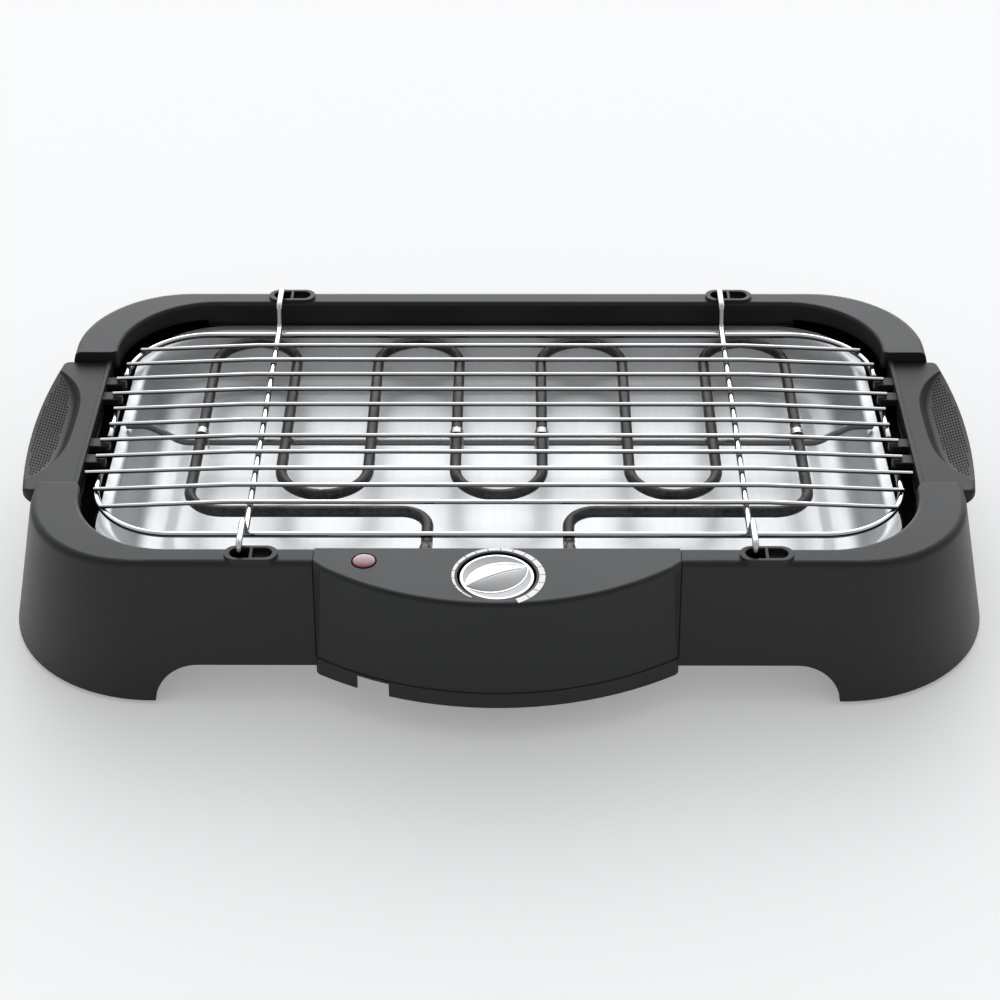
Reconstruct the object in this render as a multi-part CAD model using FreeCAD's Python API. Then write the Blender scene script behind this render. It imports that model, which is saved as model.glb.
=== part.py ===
import FreeCAD, Part
import math
import os

from FreeCAD import Vector

# Electric table grill: a moulded frame in two halves, two handles, a lift-out drip pan,
# a lift-out heater with its control box, and a wire rack that hooks into the frame.
# Millimetres. X runs along the grill, Y towards the rear, Z up from the table.
# Everything is drawn about the middle of the rim and shifted once, on saving.

# Frame
rim_height = 86.0
rim_half_length = 253.5
rim_half_width = 141.8
rim_corner = 62.0
rim_edge_round = 4.0
flare_side = 18.5
flare_front = 11.5
flare_corner = 25.0
frame_wall = 3.0
rim_side_width = 25.0
rim_front_width = 13.8
opening_corner = 54.0
opening_edge_round = 2.0
front_end_round = 7.0
rear_end_round = 4.0
front_end_setback = 74.8
rear_end_setback = 72.3
arch_height = 24.7
arch_round = 24.0
leg_length = 93.5
ledge_width = 7.0
ledge_thick = 5.0
ledge_drop = 16.0

# Feet
foot_rise = 2.5
foot_radius = 6.5
foot_stem_radius = 3.0
foot_stem_height = 10.0
foot_post_radius = 6.0
foot_from_rim_x = 30.5
foot_from_rim_y = 24.8
foot_fit = 0.05

# Hook sockets in the rim
socket_length = 28.4
socket_width = 13.0
socket_rise = 1.8
pocket_length = 22.4
pocket_width = 9.0
pocket_rib = 1.6
deep_pocket_depth = 8.0
shallow_pocket_depth = 3.5
socket_floor = 2.5

# Handles
handle_step = 6.0
handle_thick = 16.0
handle_setback = 3.5
handle_reach_front = 30.0
handle_reach_middle = 35.0
handle_reach_rear = 28.5
handle_edge_round = 2.0
handle_corner_round = 4.0
handle_edge_thick = 4.5
handle_under_flat = 16.0
handle_under_slope = 14.0
handle_ledge_width = 18.0
handle_skirt_depth = 22.0
handle_skirt_thick = 4.0
handle_lip_height = 1.2
handle_lip_width = 2.5
grip_end_gap = 10.0
grip_width = 23.5
grip_depth = 7.0
grip_edge_drop = 0.8
grip_wall_width = 6.5
grip_floor_round = 5.0
grip_fullness = 3.0
grip_stations = (-0.97, -0.86, -0.68, -0.42, -0.14, 0.14, 0.42, 0.68, 0.86, 0.97)
finger_length = 11.0
finger_width = 8.0
finger_tip_round = 2.5
finger_drop = 7.5
lug_width = 12.0
lug_height = 4.0
lug_depth = 5.0
lug_drop = 14.0
lug_fit = 0.2

# Screws
screw_radius = 1.5
screw_head_radius = 3.4
screw_head_height = 2.2
screw_grip = 10.0
screw_fit = 0.05
screw_clearance = 0.2
handle_screw_offset = 12.0
handle_screw_drop = 11.0

# Drip pan
pan_sheet = 0.8
pan_side_gap = 1.5
pan_end_gap = 2.0
pan_flange_width = 8.5
pan_wall_lean = 6.0
pan_depth = 28.8
pan_corner = 53.0
pan_bottom_round = 10.0
pan_gutter_width = 15.0
pan_panel_rise = 3.0
pan_panel_slope = 5.0

# Control box
control_share = 0.3807
seam_gap = 0.3
control_bulge_share_high = 0.36992
control_bulge_share_low = 0.395825
control_facet_top = 4.5
control_facet_bottom = 1.5
control_bottom = 30.0
control_edge_round = 3.0
control_upright_round = 4.0
cover_wall = 2.5
base_thick = 4.0
base_gap = 0.8
lip_height = 9.5
lip_proud = 0.5
rear_plate_thick = 1.2
post_radius = 4.0
post_outer_inset = 12.5
post_outer_y = 10.0
post_inner_inset = 51.5
post_inner_y = 32.0

# Knob, thermostat and lamp
knob_setback = 24.0
knob_radius = 19.4
knob_well_gap = 1.3
knob_well_depth = 9.5
knob_lift = 1.0
knob_sink = 0.6
knob_dish_depth = 1.3
knob_skirt_wall = 2.0
knob_top_thick = 2.0
knob_hub_radius = 6.0
knob_grip_rise = 3.2
knob_grip_half_width = 11.5
knob_grip_edge = 0.8
knob_pointer_angle = 206.5
shaft_radius = 3.0
shaft_running_gap = 0.05
bush_radius = 4.5
nut_across_flats = 14.0
nut_thick = 3.0
bracket_thick = 1.2
bracket_length = 34.0
bracket_width = 28.0
thermostat_length = 30.0
thermostat_width = 24.0
thermostat_clearance = 12.8
lamp_inset = 27.0
lamp_setback = 11.3
lamp_radius = 6.0
lamp_rise = 1.0
lamp_stem_radius = 5.2
lamp_stem_length = 10.0
bulb_radius = 3.2
bulb_length = 16.0

# Cord outlet, terminals and leads
notch_inset = 31.0
notch_width = 17.0
notch_height = 8.0
gland_setback = 22.0
gland_radius = 6.0
gland_bore = 3.6
gland_drop = 6.0
gland_flange = 2.0
block_inset = 41.5
block_setback = 14.0
block_length = 20.0
block_width = 14.0
block_height = 13.0
lead_radius = 1.2
lead_bend = 4.0
lead_low_share = 0.12
lead_high_share = 0.4
lead_under_pin = 10.0
lead_over_gland = 6.0
lead_before_block = 12.0
lead_step = 4.0

# Heating element
tube_radius = 3.25
tube_legs = 8
tube_side_gap = 38.5
tube_axis_drop = 19.0
tube_rear_gap = 5.5
tube_run_inset = 36.0
tube_run_step = 16.0
tube_corner = 20.0
tail_inset = 58.0
tail_bend = 15.0
tail_rise = 10.5
tail_under_rack = 3.0
tail_before_flange = 1.0
tail_rise_bend = 11.0
tail_inside = 8.0
bushing_radius = 6.0
bushing_neck = 4.4
bushing_flange = 2.5
terminal_radius = 1.5
terminal_length = 10.0
terminal_sunk = 4.0
joint_fit = 0.05

# Support rod and clips
rod_radius = 2.0
rod_y = 9.0
rod_end_gap = 3.5
rod_past_leg = 11.5
rod_before_flange = 8.0
rod_bend = 14.0
rest_gap = 0.3
clip_sheet = 0.8
clip_width = 5.0
clip_below_rod = 3.0

# Rack
bar_radius = 1.25
bar_count = 11
bar_margin = 22.0
bar_level_past_cross = 11.0
bar_bend = 60.0
bar_over_rim = 1.5
bar_over_finger = 4.5
long_bar_extra = 8.0
rack_wire_radius = 1.75
rack_end_gap = 10.0
rack_side_gap = 24.0
rack_straight = 58.0
rack_drop = 8.8
weld_sink = 0.25
cross_past_control = 38.5
hook_past_rim = 3.0
hook_rise_run = 6.0
hook_height = 12.5
hook_bend = 4.5
rim_end_gap = 2.4
side_bar_past_bar = 2.6
front_rim_past_bar = 3.2

# Places that follow from the sizes above
far = 2.0 * (rim_half_length + rim_half_width)
rim_plan = (rim_half_length, rim_half_width, rim_corner)
base_plan = (rim_half_length + flare_side, rim_half_width + flare_front, rim_corner + flare_corner)
opening_half_length = rim_half_length - rim_side_width
opening_half_width = rim_half_width - rim_front_width
opening_plan = (opening_half_length, opening_half_width, opening_corner)
front_end_y = -(rim_half_width - front_end_setback)
rear_end_y = rim_half_width - rear_end_setback
handle_middle_y = (front_end_y + rear_end_y) / 2.0
grip_half_length = (rear_end_y - front_end_y) / 2.0 - grip_end_gap
arch_half_span = rim_half_length - leg_length
control_half_length = control_share * rim_half_length
control_nose_high = rim_half_width + control_bulge_share_high * control_half_length
control_nose_low = rim_half_width + control_bulge_share_low * control_half_length
origin_shift = (control_nose_low + lip_proud - rim_half_width - flare_front) / 2.0
ledge_top = rim_height - ledge_drop
ledge_bottom = ledge_top - ledge_thick
socket_y = (rim_half_width + opening_half_width) / 2.0
foot_x = rim_half_length - foot_from_rim_x
foot_y = rim_half_width - foot_from_rim_y
handle_inner = opening_half_length + handle_setback
handle_top = rim_height - handle_step
finger_top = rim_height - finger_drop
pan_half_length = handle_inner - finger_length - pan_side_gap
pan_half_width = opening_half_width - pan_end_gap
pan_top = ledge_top + pan_sheet
box_rear = -(opening_half_width + seam_gap)
box_half_length = control_half_length - seam_gap
cover_underside = rim_height - cover_wall
base_top = control_bottom + base_thick
lip_bottom = control_bottom - lip_height
post_outer_x = control_half_length - post_outer_inset
post_inner_x = control_half_length - post_inner_inset
knob_y = box_rear - knob_setback
well_floor = rim_height - knob_well_depth
knob_rim = rim_height - knob_sink
knob_dish = knob_rim - knob_dish_depth
thermostat_top = well_floor - cover_wall - bracket_thick
thermostat_foot = base_top + thermostat_clearance
thermostat_height = thermostat_top - thermostat_foot
lamp_x = -(control_half_length - lamp_inset)
lamp_y = box_rear - lamp_setback
notch_x = -(control_half_length - notch_inset)
block_x = control_half_length - block_inset
tail_x = control_half_length - tail_inset
gland_y = box_rear - gland_setback
tube_axis = rim_height - tube_axis_drop
tail_axis = tube_axis + tail_rise
tail_end_y = box_rear - rear_plate_thick - tail_inside
rod_axis = tube_axis - tube_radius - rod_radius
pan_inner_width = pan_half_width - pan_flange_width
pan_inner_length = pan_half_length - pan_flange_width
rack_half_length = handle_inner - rack_end_gap
rack_half_width = opening_half_width - rack_side_gap
rack_corner = rack_half_width - rack_straight
cross_x = control_half_length + cross_past_control
bar_level_half = cross_x + bar_level_past_cross
bar_spacing = 2.0 * (rack_half_width - bar_margin) / (bar_count - 1)
tube_pitch = 2.0 * (pan_inner_length - tube_side_gap) / (tube_legs - 1)
tube_rear_y = pan_inner_width - tube_rear_gap
tube_run_y = -(rack_half_width - tube_run_inset)
tube_front_y = tube_run_y + tube_run_step
tail_rise_start = -(rack_half_width - tail_under_rack)
tail_rise_end = -(pan_inner_width - tail_before_flange)
rim_wire_axis = rim_height - rack_drop
cross_axis = rim_wire_axis + 2.0 * rack_wire_radius - weld_sink
bar_axis = cross_axis + rack_wire_radius + bar_radius - weld_sink
bar_end_axis = rim_wire_axis + rack_wire_radius + bar_radius - weld_sink
pocket_shift = (pocket_length + pocket_rib) / 4.0
finger_bars = (2, 3, 6, 7)
first_side_bar = 4
long_bar = 8


def rounded_outline(half_length, half_width, corner, z):
    """Closed outline of a rectangle with round corners, centred on the rim."""
    x = half_length - corner
    y = half_width - corner
    diagonal = corner * math.sqrt(0.5)
    edges = []
    for sx, sy, turn in ((1, 1, 0), (-1, 1, 1), (-1, -1, 0), (1, -1, 1)):
        along_x = Vector(sx * half_length, sy * y, z)
        along_y = Vector(sx * x, sy * half_width, z)
        middle = Vector(sx * (x + diagonal), sy * (y + diagonal), z)
        ends = (along_y, along_x) if turn else (along_x, along_y)
        edges.append((ends[0], Part.Arc(ends[0], middle, ends[1]).toShape(), ends[1]))
    loop = []
    for index, (start, arc, end) in enumerate(edges):
        loop.append(arc)
        following = edges[(index + 1) % len(edges)][0]
        loop.append(Part.LineSegment(end, following).toShape())
    return Part.Wire(loop)


def grown(plan, grow):
    """The plan's half length, half width and corner radius, moved outwards by one distance."""
    return tuple(size + grow for size in plan)


def prism(plan, z_low, z_high):
    """Upright block with a round-cornered plan."""
    face = Part.Face(rounded_outline(*plan, z_low))
    return face.extrude(Vector(0, 0, z_high - z_low))


def tapered(low_plan, z_low, high_plan, z_high):
    """Block whose plan changes evenly from one height to another."""
    outlines = [rounded_outline(*low_plan, z_low), rounded_outline(*high_plan, z_high)]
    return Part.makeLoft(outlines, True, True)


def box(x_low, x_high, y_low, y_high, z_low, z_high):
    """Plain block between two corners."""
    corner = Vector(x_low, y_low, z_low)
    return Part.makeBox(x_high - x_low, y_high - y_low, z_high - z_low, corner)


def upright(radius, x, y, z_low, z_high):
    """Upright round rod or hole."""
    return Part.makeCylinder(radius, z_high - z_low, Vector(x, y, z_low))


def level_rod(radius, x, z, y_low, y_high):
    """Round rod or hole along Y."""
    return Part.makeCylinder(radius, y_high - y_low, Vector(x, y_low, z), Vector(0, 1, 0))


def stadium(length, width, x, y, z_low, z_high):
    """Upright block with two straight sides and round ends."""
    radius = width / 2.0
    reach = length / 2.0 - radius
    middle = box(x - reach, x + reach, y - radius, y + radius, z_low, z_high)
    ends = [upright(radius, x + side * reach, y, z_low, z_high) for side in (-1, 1)]
    return middle.fuse(ends).removeSplitter()


def edges_at_height(shape, z):
    """Edges of a shape that lie in one level plane."""
    found = []
    for edge in shape.Edges:
        limits = edge.BoundBox
        if abs(limits.ZMin - z) < 1e-6 and abs(limits.ZMax - z) < 1e-6:
            found.append(edge)
    return found


def bent_path(points, bend):
    """Wire through points, with a round bend at each corner; bend is one radius or one per corner."""
    bends = bend if isinstance(bend, (list, tuple)) else [bend] * (len(points) - 2)
    edges = []
    start = points[0]
    for index in range(1, len(points) - 1):
        corner = points[index]
        back = (points[index - 1] - corner).normalize()
        on = (points[index + 1] - corner).normalize()
        turn = math.pi - back.getAngle(on)
        reach = bends[index - 1] * math.tan(turn / 2.0)
        first = corner + back * reach
        last = corner + on * reach
        inward = (back + on).normalize()
        rise = bends[index - 1] * (1.0 / math.cos(turn / 2.0) - 1.0)
        if (first - start).Length > 1e-6:
            edges.append(Part.LineSegment(start, first).toShape())
        edges.append(Part.Arc(first, corner + inward * rise, last).toShape())
        start = last
    edges.append(Part.LineSegment(start, points[-1]).toShape())
    return Part.Wire(edges)


def bent_rod(points, bend, radius):
    """Round rod bent along a path."""
    path = bent_path(points, bend)
    heading = points[1] - points[0]
    section = Part.Wire(Part.makeCircle(radius, points[0], heading))
    return path.makePipeShell([section], True, True)


# Frame halves

def frame_shell(keep, keep_inside, solid_block):
    """One half of the moulded ring: outer skin, end walls, inner skirt and pan ledge."""
    outer = tapered(base_plan, foot_rise, rim_plan, rim_height)
    outer = outer.makeFillet(rim_edge_round, edges_at_height(outer, rim_height))
    hollow = tapered(grown(base_plan, -frame_wall), foot_rise - frame_wall,
                     grown(rim_plan, -frame_wall), rim_height - frame_wall)
    skirt = prism(grown(opening_plan, frame_wall), ledge_bottom, rim_height)
    hollow = hollow.cut(skirt).common(keep_inside)
    if solid_block is not None:
        hollow = hollow.cut(solid_block)
    opening = prism(opening_plan, 0.0, far)
    below_ledge = prism(grown(opening_plan, frame_wall), 0.0, ledge_bottom)
    shell = outer.common(keep).cut(hollow).cut(opening)
    shell = shell.makeFillet(opening_edge_round, edges_round_opening(shell))
    shell = shell.cut(below_ledge.common(keep_inside))
    ledge = prism(opening_plan, ledge_bottom, ledge_top)
    ledge = ledge.cut(prism(grown(opening_plan, -ledge_width), 0.0, far))
    return shell.fuse(ledge.common(keep))


def edges_round_opening(shell):
    """Top edges of a frame half that run along the opening."""
    found = []
    for edge in edges_at_height(shell, rim_height):
        middle = edge.valueAt((edge.FirstParameter + edge.LastParameter) / 2.0)
        if abs(middle.x) < opening_half_length + seam_gap and abs(middle.y) < opening_half_width + seam_gap:
            found.append(edge)
    return found


def end_corners(end_y, side, radius):
    """What to cut off so that the inner corners of a frame half's ends are round."""
    cuts = []
    centre_y = end_y + side * radius
    low_y, high_y = sorted((end_y, centre_y))
    for hand in (-1, 1):
        centre_x = hand * (opening_half_length + radius)
        low_x, high_x = sorted((hand * opening_half_length, centre_x))
        corner = box(low_x, high_x, low_y, high_y, ledge_top, far)
        cuts.append(corner.cut(upright(radius, centre_x, centre_y, ledge_top, far)))
    return cuts


def leg_arch(y_low, y_high):
    """Space under the frame between two legs, with round shoulders."""
    centre_z = arch_height - arch_round
    space = box(-arch_half_span, arch_half_span, y_low, y_high, -far, arch_height)
    shoulders = [level_rod(arch_round, side * arch_half_span, centre_z, y_low, y_high)
                 for side in (-1, 1)]
    return space.fuse(shoulders)


def hook_sockets(side):
    """Raised two-pocket sockets and the pockets to cut, on the front (-1) or rear (1) rim."""
    bosses = []
    pockets = []
    top = rim_height + socket_rise
    deep_floor = top - deep_pocket_depth
    y = side * socket_y
    for wire_x in (-cross_x, cross_x):
        x = wire_x + pocket_shift
        bosses.append(stadium(socket_length, socket_width, x, y, deep_floor - socket_floor, top))
        pocket = stadium(pocket_length, pocket_width, x, y, deep_floor, far)
        rib = box(x - pocket_rib / 2.0, x + pocket_rib / 2.0, -far, far, 0.0, far)
        raised = box(x, x + socket_length, -far, far, 0.0, top - shallow_pocket_depth)
        pockets.append(pocket.cut(rib).cut(raised))
    return bosses, pockets


def foot_posts(side):
    """Posts inside the legs and the holes that take the feet's stems."""
    posts = []
    holes = []
    for end in (-1, 1):
        place = (end * foot_x, side * foot_y)
        posts.append(upright(foot_post_radius, *place, foot_rise, rim_height - frame_wall / 2.0))
        holes.append(upright(foot_stem_radius + foot_fit, *place, 0.0,
                             foot_rise + foot_stem_height + foot_fit))
    return posts, holes


def handle_fixings(end_y, side):
    """Slots and screw holes in the end walls that carry the handles."""
    cuts = []
    wall = sorted((end_y, end_y + side * frame_wall))
    for hand in (-1, 1):
        x = hand * (handle_inner + handle_screw_offset)
        z = handle_top - lug_drop
        half = lug_width / 2.0 + lug_fit
        cuts.append(box(x - half, x + half, wall[0], wall[1], z - lug_fit, z + lug_height + lug_fit))
        z = rim_height - handle_screw_drop
        cuts.append(level_rod(screw_radius + screw_clearance, x, z, wall[0], wall[1]))
    return cuts


def control_outline(z, front, facet, grow):
    """Bulged plan of the control box or of the lip below it, at one height."""
    lean = flare_front * (rim_height - z) / (rim_height - foot_rise)
    side_y = -(rim_half_width + lean)
    half = box_half_length if grow == 0.0 else control_half_length
    corners = [Vector(-half, box_rear, z), Vector(-half, side_y, z)]
    corners.append(Vector(-half + facet, side_y - facet - grow, z))
    nose = Vector(0, -front - grow, z)
    mirrored = [Vector(-p.x, p.y, p.z) for p in reversed(corners)]
    edges = [Part.LineSegment(corners[0], corners[1]).toShape()]
    edges.append(Part.LineSegment(corners[1], corners[2]).toShape())
    edges.append(Part.Arc(corners[2], nose, mirrored[0]).toShape())
    edges.append(Part.LineSegment(mirrored[0], mirrored[1]).toShape())
    edges.append(Part.LineSegment(mirrored[1], mirrored[2]).toShape())
    edges.append(Part.LineSegment(mirrored[2], corners[0]).toShape())
    return Part.Wire(edges)


def control_lip():
    """Hollow bulged lip that carries the control box, with the cord notch."""
    low = control_outline(lip_bottom, control_nose_low, control_facet_bottom, lip_proud)
    high = control_outline(control_bottom, control_nose_low, control_facet_bottom, lip_proud)
    block = Part.makeLoft([low, high], True, True)
    room = Part.Face(low).makeOffset2D(-frame_wall)
    room = room.extrude(Vector(0, 0, lip_height - frame_wall))
    notch = box(notch_x - notch_width / 2.0, notch_x + notch_width / 2.0,
                -far, gland_y, lip_bottom, lip_bottom + notch_height)
    well = box(notch_x - notch_width / 2.0, notch_x + notch_width / 2.0,
               gland_y - notch_width / 2.0, gland_y + notch_width / 2.0,
               lip_bottom, control_bottom)
    return block.cut([room, notch, well])


def front_frame():
    """Front half of the ring, cut out for the control box and carrying its lip."""
    keep = box(-far, far, -far, front_end_y, 0.0, far)
    keep_inside = box(-far, far, -far, front_end_y - frame_wall, -far, far)
    cheek = control_half_length + frame_wall
    cheeks = box(-cheek, cheek, -far, -opening_half_width, arch_height, far)
    shell = frame_shell(keep, keep_inside, cheeks)
    shell = shell.cut(leg_arch(-far, front_end_y - frame_wall - ledge_width))
    posts, holes = foot_posts(-1)
    bosses, pockets = hook_sockets(-1)
    shell = shell.fuse(posts + bosses).cut(pockets + holes + handle_fixings(front_end_y, -1))
    shell = shell.cut(end_corners(front_end_y, -1, front_end_round))
    cut_out = box(-control_half_length, control_half_length, -far, -opening_half_width, 0.0, far)
    return shell.cut(cut_out).fuse(control_lip()).removeSplitter()


def rear_frame():
    """Rear half of the ring."""
    keep = box(-far, far, rear_end_y, far, 0.0, far)
    keep_inside = box(-far, far, rear_end_y + frame_wall, far, -far, far)
    shell = frame_shell(keep, keep_inside, None)
    shell = shell.cut(leg_arch(rear_end_y + frame_wall + ledge_width, far))
    posts, holes = foot_posts(1)
    bosses, pockets = hook_sockets(1)
    shell = shell.fuse(posts + bosses).cut(pockets + holes + handle_fixings(rear_end_y, 1))
    shell = shell.cut(end_corners(rear_end_y, 1, rear_end_round))
    return shell.removeSplitter()


def foot(hand, side):
    """Rubber foot: a pad with a stem in the leg's post."""
    place = (hand * foot_x, side * foot_y)
    pad = upright(foot_radius, *place, 0.0, foot_rise)
    stem = upright(foot_stem_radius, *place, foot_rise / 2.0, foot_rise + foot_stem_height)
    return pad.fuse(stem).removeSplitter()


# Handles

def bar_y(index):
    """Place of one rack bar, counted from the rear."""
    return ((bar_count - 1) / 2.0 - index) * bar_spacing


def right_handle():
    """Grip with its skirt, raised inner lip, dished recess, pan ledge, rack fingers and end lugs."""
    low = handle_top - handle_thick
    corners = [Vector(handle_inner, front_end_y, low),
               Vector(handle_inner + handle_reach_front, front_end_y, low),
               Vector(handle_inner + handle_reach_middle, handle_middle_y, low),
               Vector(handle_inner + handle_reach_rear, rear_end_y, low),
               Vector(handle_inner, rear_end_y, low)]
    outline = Part.Wire([Part.LineSegment(corners[0], corners[1]).toShape(),
                         Part.Arc(corners[1], corners[2], corners[3]).toShape(),
                         Part.LineSegment(corners[3], corners[4]).toShape(),
                         Part.LineSegment(corners[4], corners[0]).toShape()])
    grip = Part.Face(outline).extrude(Vector(0, 0, handle_thick))
    corner_edges = [e for e in grip.Edges if e.BoundBox.ZLength > handle_thick / 2.0
                    and e.BoundBox.XMin > handle_inner + handle_under_flat]
    grip = grip.makeFillet(handle_corner_round, corner_edges)
    outer_edges = [e for e in edges_at_height(grip, handle_top) if e.Curve.TypeId == "Part::GeomCircle"]
    grip = grip.makeFillet(handle_edge_round, outer_edges)
    grip = grip.cut(handle_underside(low))
    grip = grip.cut(Part.makeLoft([grip_section(station) for station in grip_stations], True, False))
    skirt = box(handle_inner, handle_inner + handle_skirt_thick, front_end_y, rear_end_y,
                handle_top - handle_skirt_depth, handle_top)
    lip = box(handle_inner, handle_inner + handle_lip_width, front_end_y, rear_end_y,
              handle_top - handle_lip_height, handle_top + handle_lip_height)
    ledge = box(handle_inner - handle_ledge_width, handle_inner + handle_skirt_thick, front_end_y, rear_end_y,
                ledge_bottom, ledge_top)
    pieces = [skirt, lip, ledge]
    for index in finger_bars:
        y = bar_y(index)
        finger = box(handle_inner - finger_length, handle_inner + handle_skirt_thick,
                     y - finger_width / 2.0, y + finger_width / 2.0, ledge_bottom, finger_top)
        tip = [e for e in finger.Edges if e.BoundBox.XMax < handle_inner - finger_length + seam_gap
               and e.BoundBox.YLength < seam_gap]
        pieces.append(finger.makeFillet(finger_tip_round, tip))
    x = handle_inner + handle_screw_offset
    holes = []
    for end_y, side in ((front_end_y, -1), (rear_end_y, 1)):
        reach = sorted((end_y, end_y + side * lug_depth))
        z = handle_top - lug_drop
        pieces.append(box(x - lug_width / 2.0, x + lug_width / 2.0, reach[0], reach[1],
                          z, z + lug_height))
        inside = sorted((end_y, end_y - side * (screw_grip + screw_clearance)))
        holes.append(level_rod(screw_radius + screw_fit, x, rim_height - handle_screw_drop,
                               inside[0], inside[1]))
    return grip.fuse(pieces).removeSplitter().cut(holes)


def grip_reach(station):
    """How far the grip's outer edge stands out, at a share of the recess's half length from the middle."""
    share = station * grip_half_length / (handle_middle_y - front_end_y)
    mean = (handle_reach_front + handle_reach_rear) / 2.0
    skew = (handle_reach_rear - handle_reach_front) / 2.0
    return handle_reach_middle + (mean - handle_reach_middle) * share ** 2 + skew * share


def grip_section(station):
    """Section of the recess to cut: a steep inner wall, a round bottom and a floor rising outwards."""
    full = 1.0 - abs(station) ** grip_fullness
    y = handle_middle_y + station * grip_half_length
    outer = handle_inner + grip_reach(station)
    inner = outer - grip_width * full
    wall = Vector(grip_wall_width, 0, -grip_depth) * full
    floor = Vector(grip_width - grip_wall_width, 0, grip_depth - grip_edge_drop) * full
    turn = wall.getAngle(floor)
    back = grip_floor_round * full * math.tan(turn / 2.0)
    start = Vector(inner, y, handle_top)
    bottom = start + wall
    entry = bottom - Vector(wall).normalize() * back
    leave = bottom + Vector(floor).normalize() * back
    middle = (entry + leave) * 0.5
    sag = grip_floor_round * full * (1.0 / math.cos(turn / 2.0) - 1.0)
    middle = bottom + (middle - bottom).normalize() * sag
    end = bottom + floor * (1.0 + handle_edge_round / (grip_width - grip_wall_width) / full)
    above = handle_top + handle_thick
    corners = [leave, end, Vector(end.x, y, above), Vector(inner, y, above), start, entry]
    lines = [Part.LineSegment(a, b).toShape() for a, b in zip(corners, corners[1:])]
    return Part.Wire([Part.Arc(entry, middle, leave).toShape()] + lines)


def handle_underside(low):
    """Wedge to cut under the grip, so that it thins towards its outer edge."""
    inner = handle_inner + handle_under_flat
    outer = handle_inner + handle_reach_middle + handle_edge_round
    rise = handle_thick - handle_edge_thick
    section = Part.makePolygon([Vector(inner, front_end_y, low), Vector(outer, front_end_y, low),
                                Vector(outer, front_end_y, low + rise),
                                Vector(inner + handle_under_slope, front_end_y, low + rise),
                                Vector(inner, front_end_y, low)])
    return Part.Face(section).extrude(Vector(0, rear_end_y - front_end_y, 0))


def left_handle():
    """The right handle, mirrored."""
    return right_handle().mirror(Vector(0, 0, 0), Vector(1, 0, 0))


def screw(base, heading, grip):
    """Pan-head screw: base is the underside of the head, heading points along the shank."""
    shank = Part.makeCylinder(screw_radius, grip, base, heading)
    head = Part.makeCylinder(screw_head_radius, screw_head_height, base, heading * -1.0)
    return shank.fuse(head).removeSplitter()


def handle_screws():
    """Screws from inside the frame's end walls into the handles."""
    screws = []
    for hand in (-1, 1):
        x = hand * (handle_inner + handle_screw_offset)
        for end_y, side in ((front_end_y, -1), (rear_end_y, 1)):
            base = Vector(x, end_y + side * frame_wall, rim_height - handle_screw_drop)
            screws.append(screw(base, Vector(0, -side, 0), frame_wall + screw_grip))
    return Part.makeCompound(screws)


# Drip pan

def pan_bowl(grow, z_low):
    """Space inside the pan, or its outside, with a rounded bottom edge."""
    plan = (pan_inner_length, pan_inner_width, pan_corner - pan_flange_width)
    bowl = tapered(grown(plan, grow - pan_wall_lean), z_low, grown(plan, grow), pan_top)
    return bowl.makeFillet(pan_bottom_round + grow, edges_at_height(bowl, z_low))


def drip_pan():
    """Pressed tray with a flange, a gutter round the edge and a raised floor."""
    gutter = pan_top - pan_depth
    outer_plan = (pan_half_length, pan_half_width, pan_corner)
    flange = prism(outer_plan, ledge_top, pan_top)
    pan = flange.fuse(pan_bowl(pan_sheet, gutter - pan_sheet)).cut(pan_bowl(0.0, gutter))
    inset = pan_flange_width + pan_wall_lean + pan_gutter_width
    plan = grown(outer_plan, -inset)
    panel = tapered(plan, gutter - pan_sheet, grown(plan, -pan_panel_slope), gutter + pan_panel_rise)
    under_plan = grown(plan, -pan_sheet)
    under = tapered(under_plan, gutter - 2.0 * pan_sheet,
                    grown(under_plan, -pan_panel_slope), gutter + pan_panel_rise - pan_sheet)
    return pan.fuse(panel).removeSplitter().cut(under)


# Control box

def control_cover():
    """Bulged cover with the knob well, the lamp hole and four screw posts; open below and behind."""
    low = control_outline(control_bottom, control_nose_low, control_facet_bottom, 0.0)
    high = control_outline(rim_height, control_nose_high, control_facet_top, 0.0)
    cover = Part.makeLoft([low, high], True, True)
    inside_seams = box_half_length - control_facet_bottom / 2.0
    uprights = [e for e in cover.Edges
                if e.BoundBox.ZLength > control_edge_round and abs(e.CenterOfMass.x) < inside_seams]
    cover = cover.makeFillet(control_upright_round, uprights)
    front_edges = [e for e in edges_at_height(cover, rim_height)
                   if e.CenterOfMass.y < -rim_half_width]
    cover = cover.makeFillet(control_edge_round, front_edges)
    room_low = Part.Face(low).makeOffset2D(-cover_wall).OuterWire
    room_high = Part.Face(high).makeOffset2D(-cover_wall).OuterWire
    room_high.translate(Vector(0, 0, -cover_wall))
    room = Part.makeLoft([room_low, room_high], True, True)
    rear_way = box(-box_half_length + cover_wall, box_half_length - cover_wall,
                   box_rear - 2.0 * cover_wall, box_rear, control_bottom, cover_underside)
    cover = cover.cut([room, rear_way])
    well_radius = knob_radius + knob_well_gap
    cup = upright(well_radius + cover_wall, 0, knob_y, well_floor - cover_wall, cover_underside)
    whole = Part.makeLoft([low, high], True, True)
    plate_room = box(-far, far, box_rear - rear_plate_thick, far, 0.0, far)
    pieces = [cup.common(whole).cut(plate_room)]
    holes = [upright(well_radius, 0, knob_y, well_floor, far)]
    holes.append(upright(bush_radius + joint_fit, 0, knob_y, 0.0, far))
    holes.append(upright(lamp_stem_radius + joint_fit, lamp_x, lamp_y, base_top, far))
    for x, y in post_places():
        pieces.append(upright(post_radius, x, y, base_top, cover_underside))
        holes.append(upright(screw_radius + screw_fit, x, y, base_top,
                             base_top + screw_grip + screw_clearance))
    return cover.fuse(pieces).removeSplitter().cut(holes)


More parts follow.
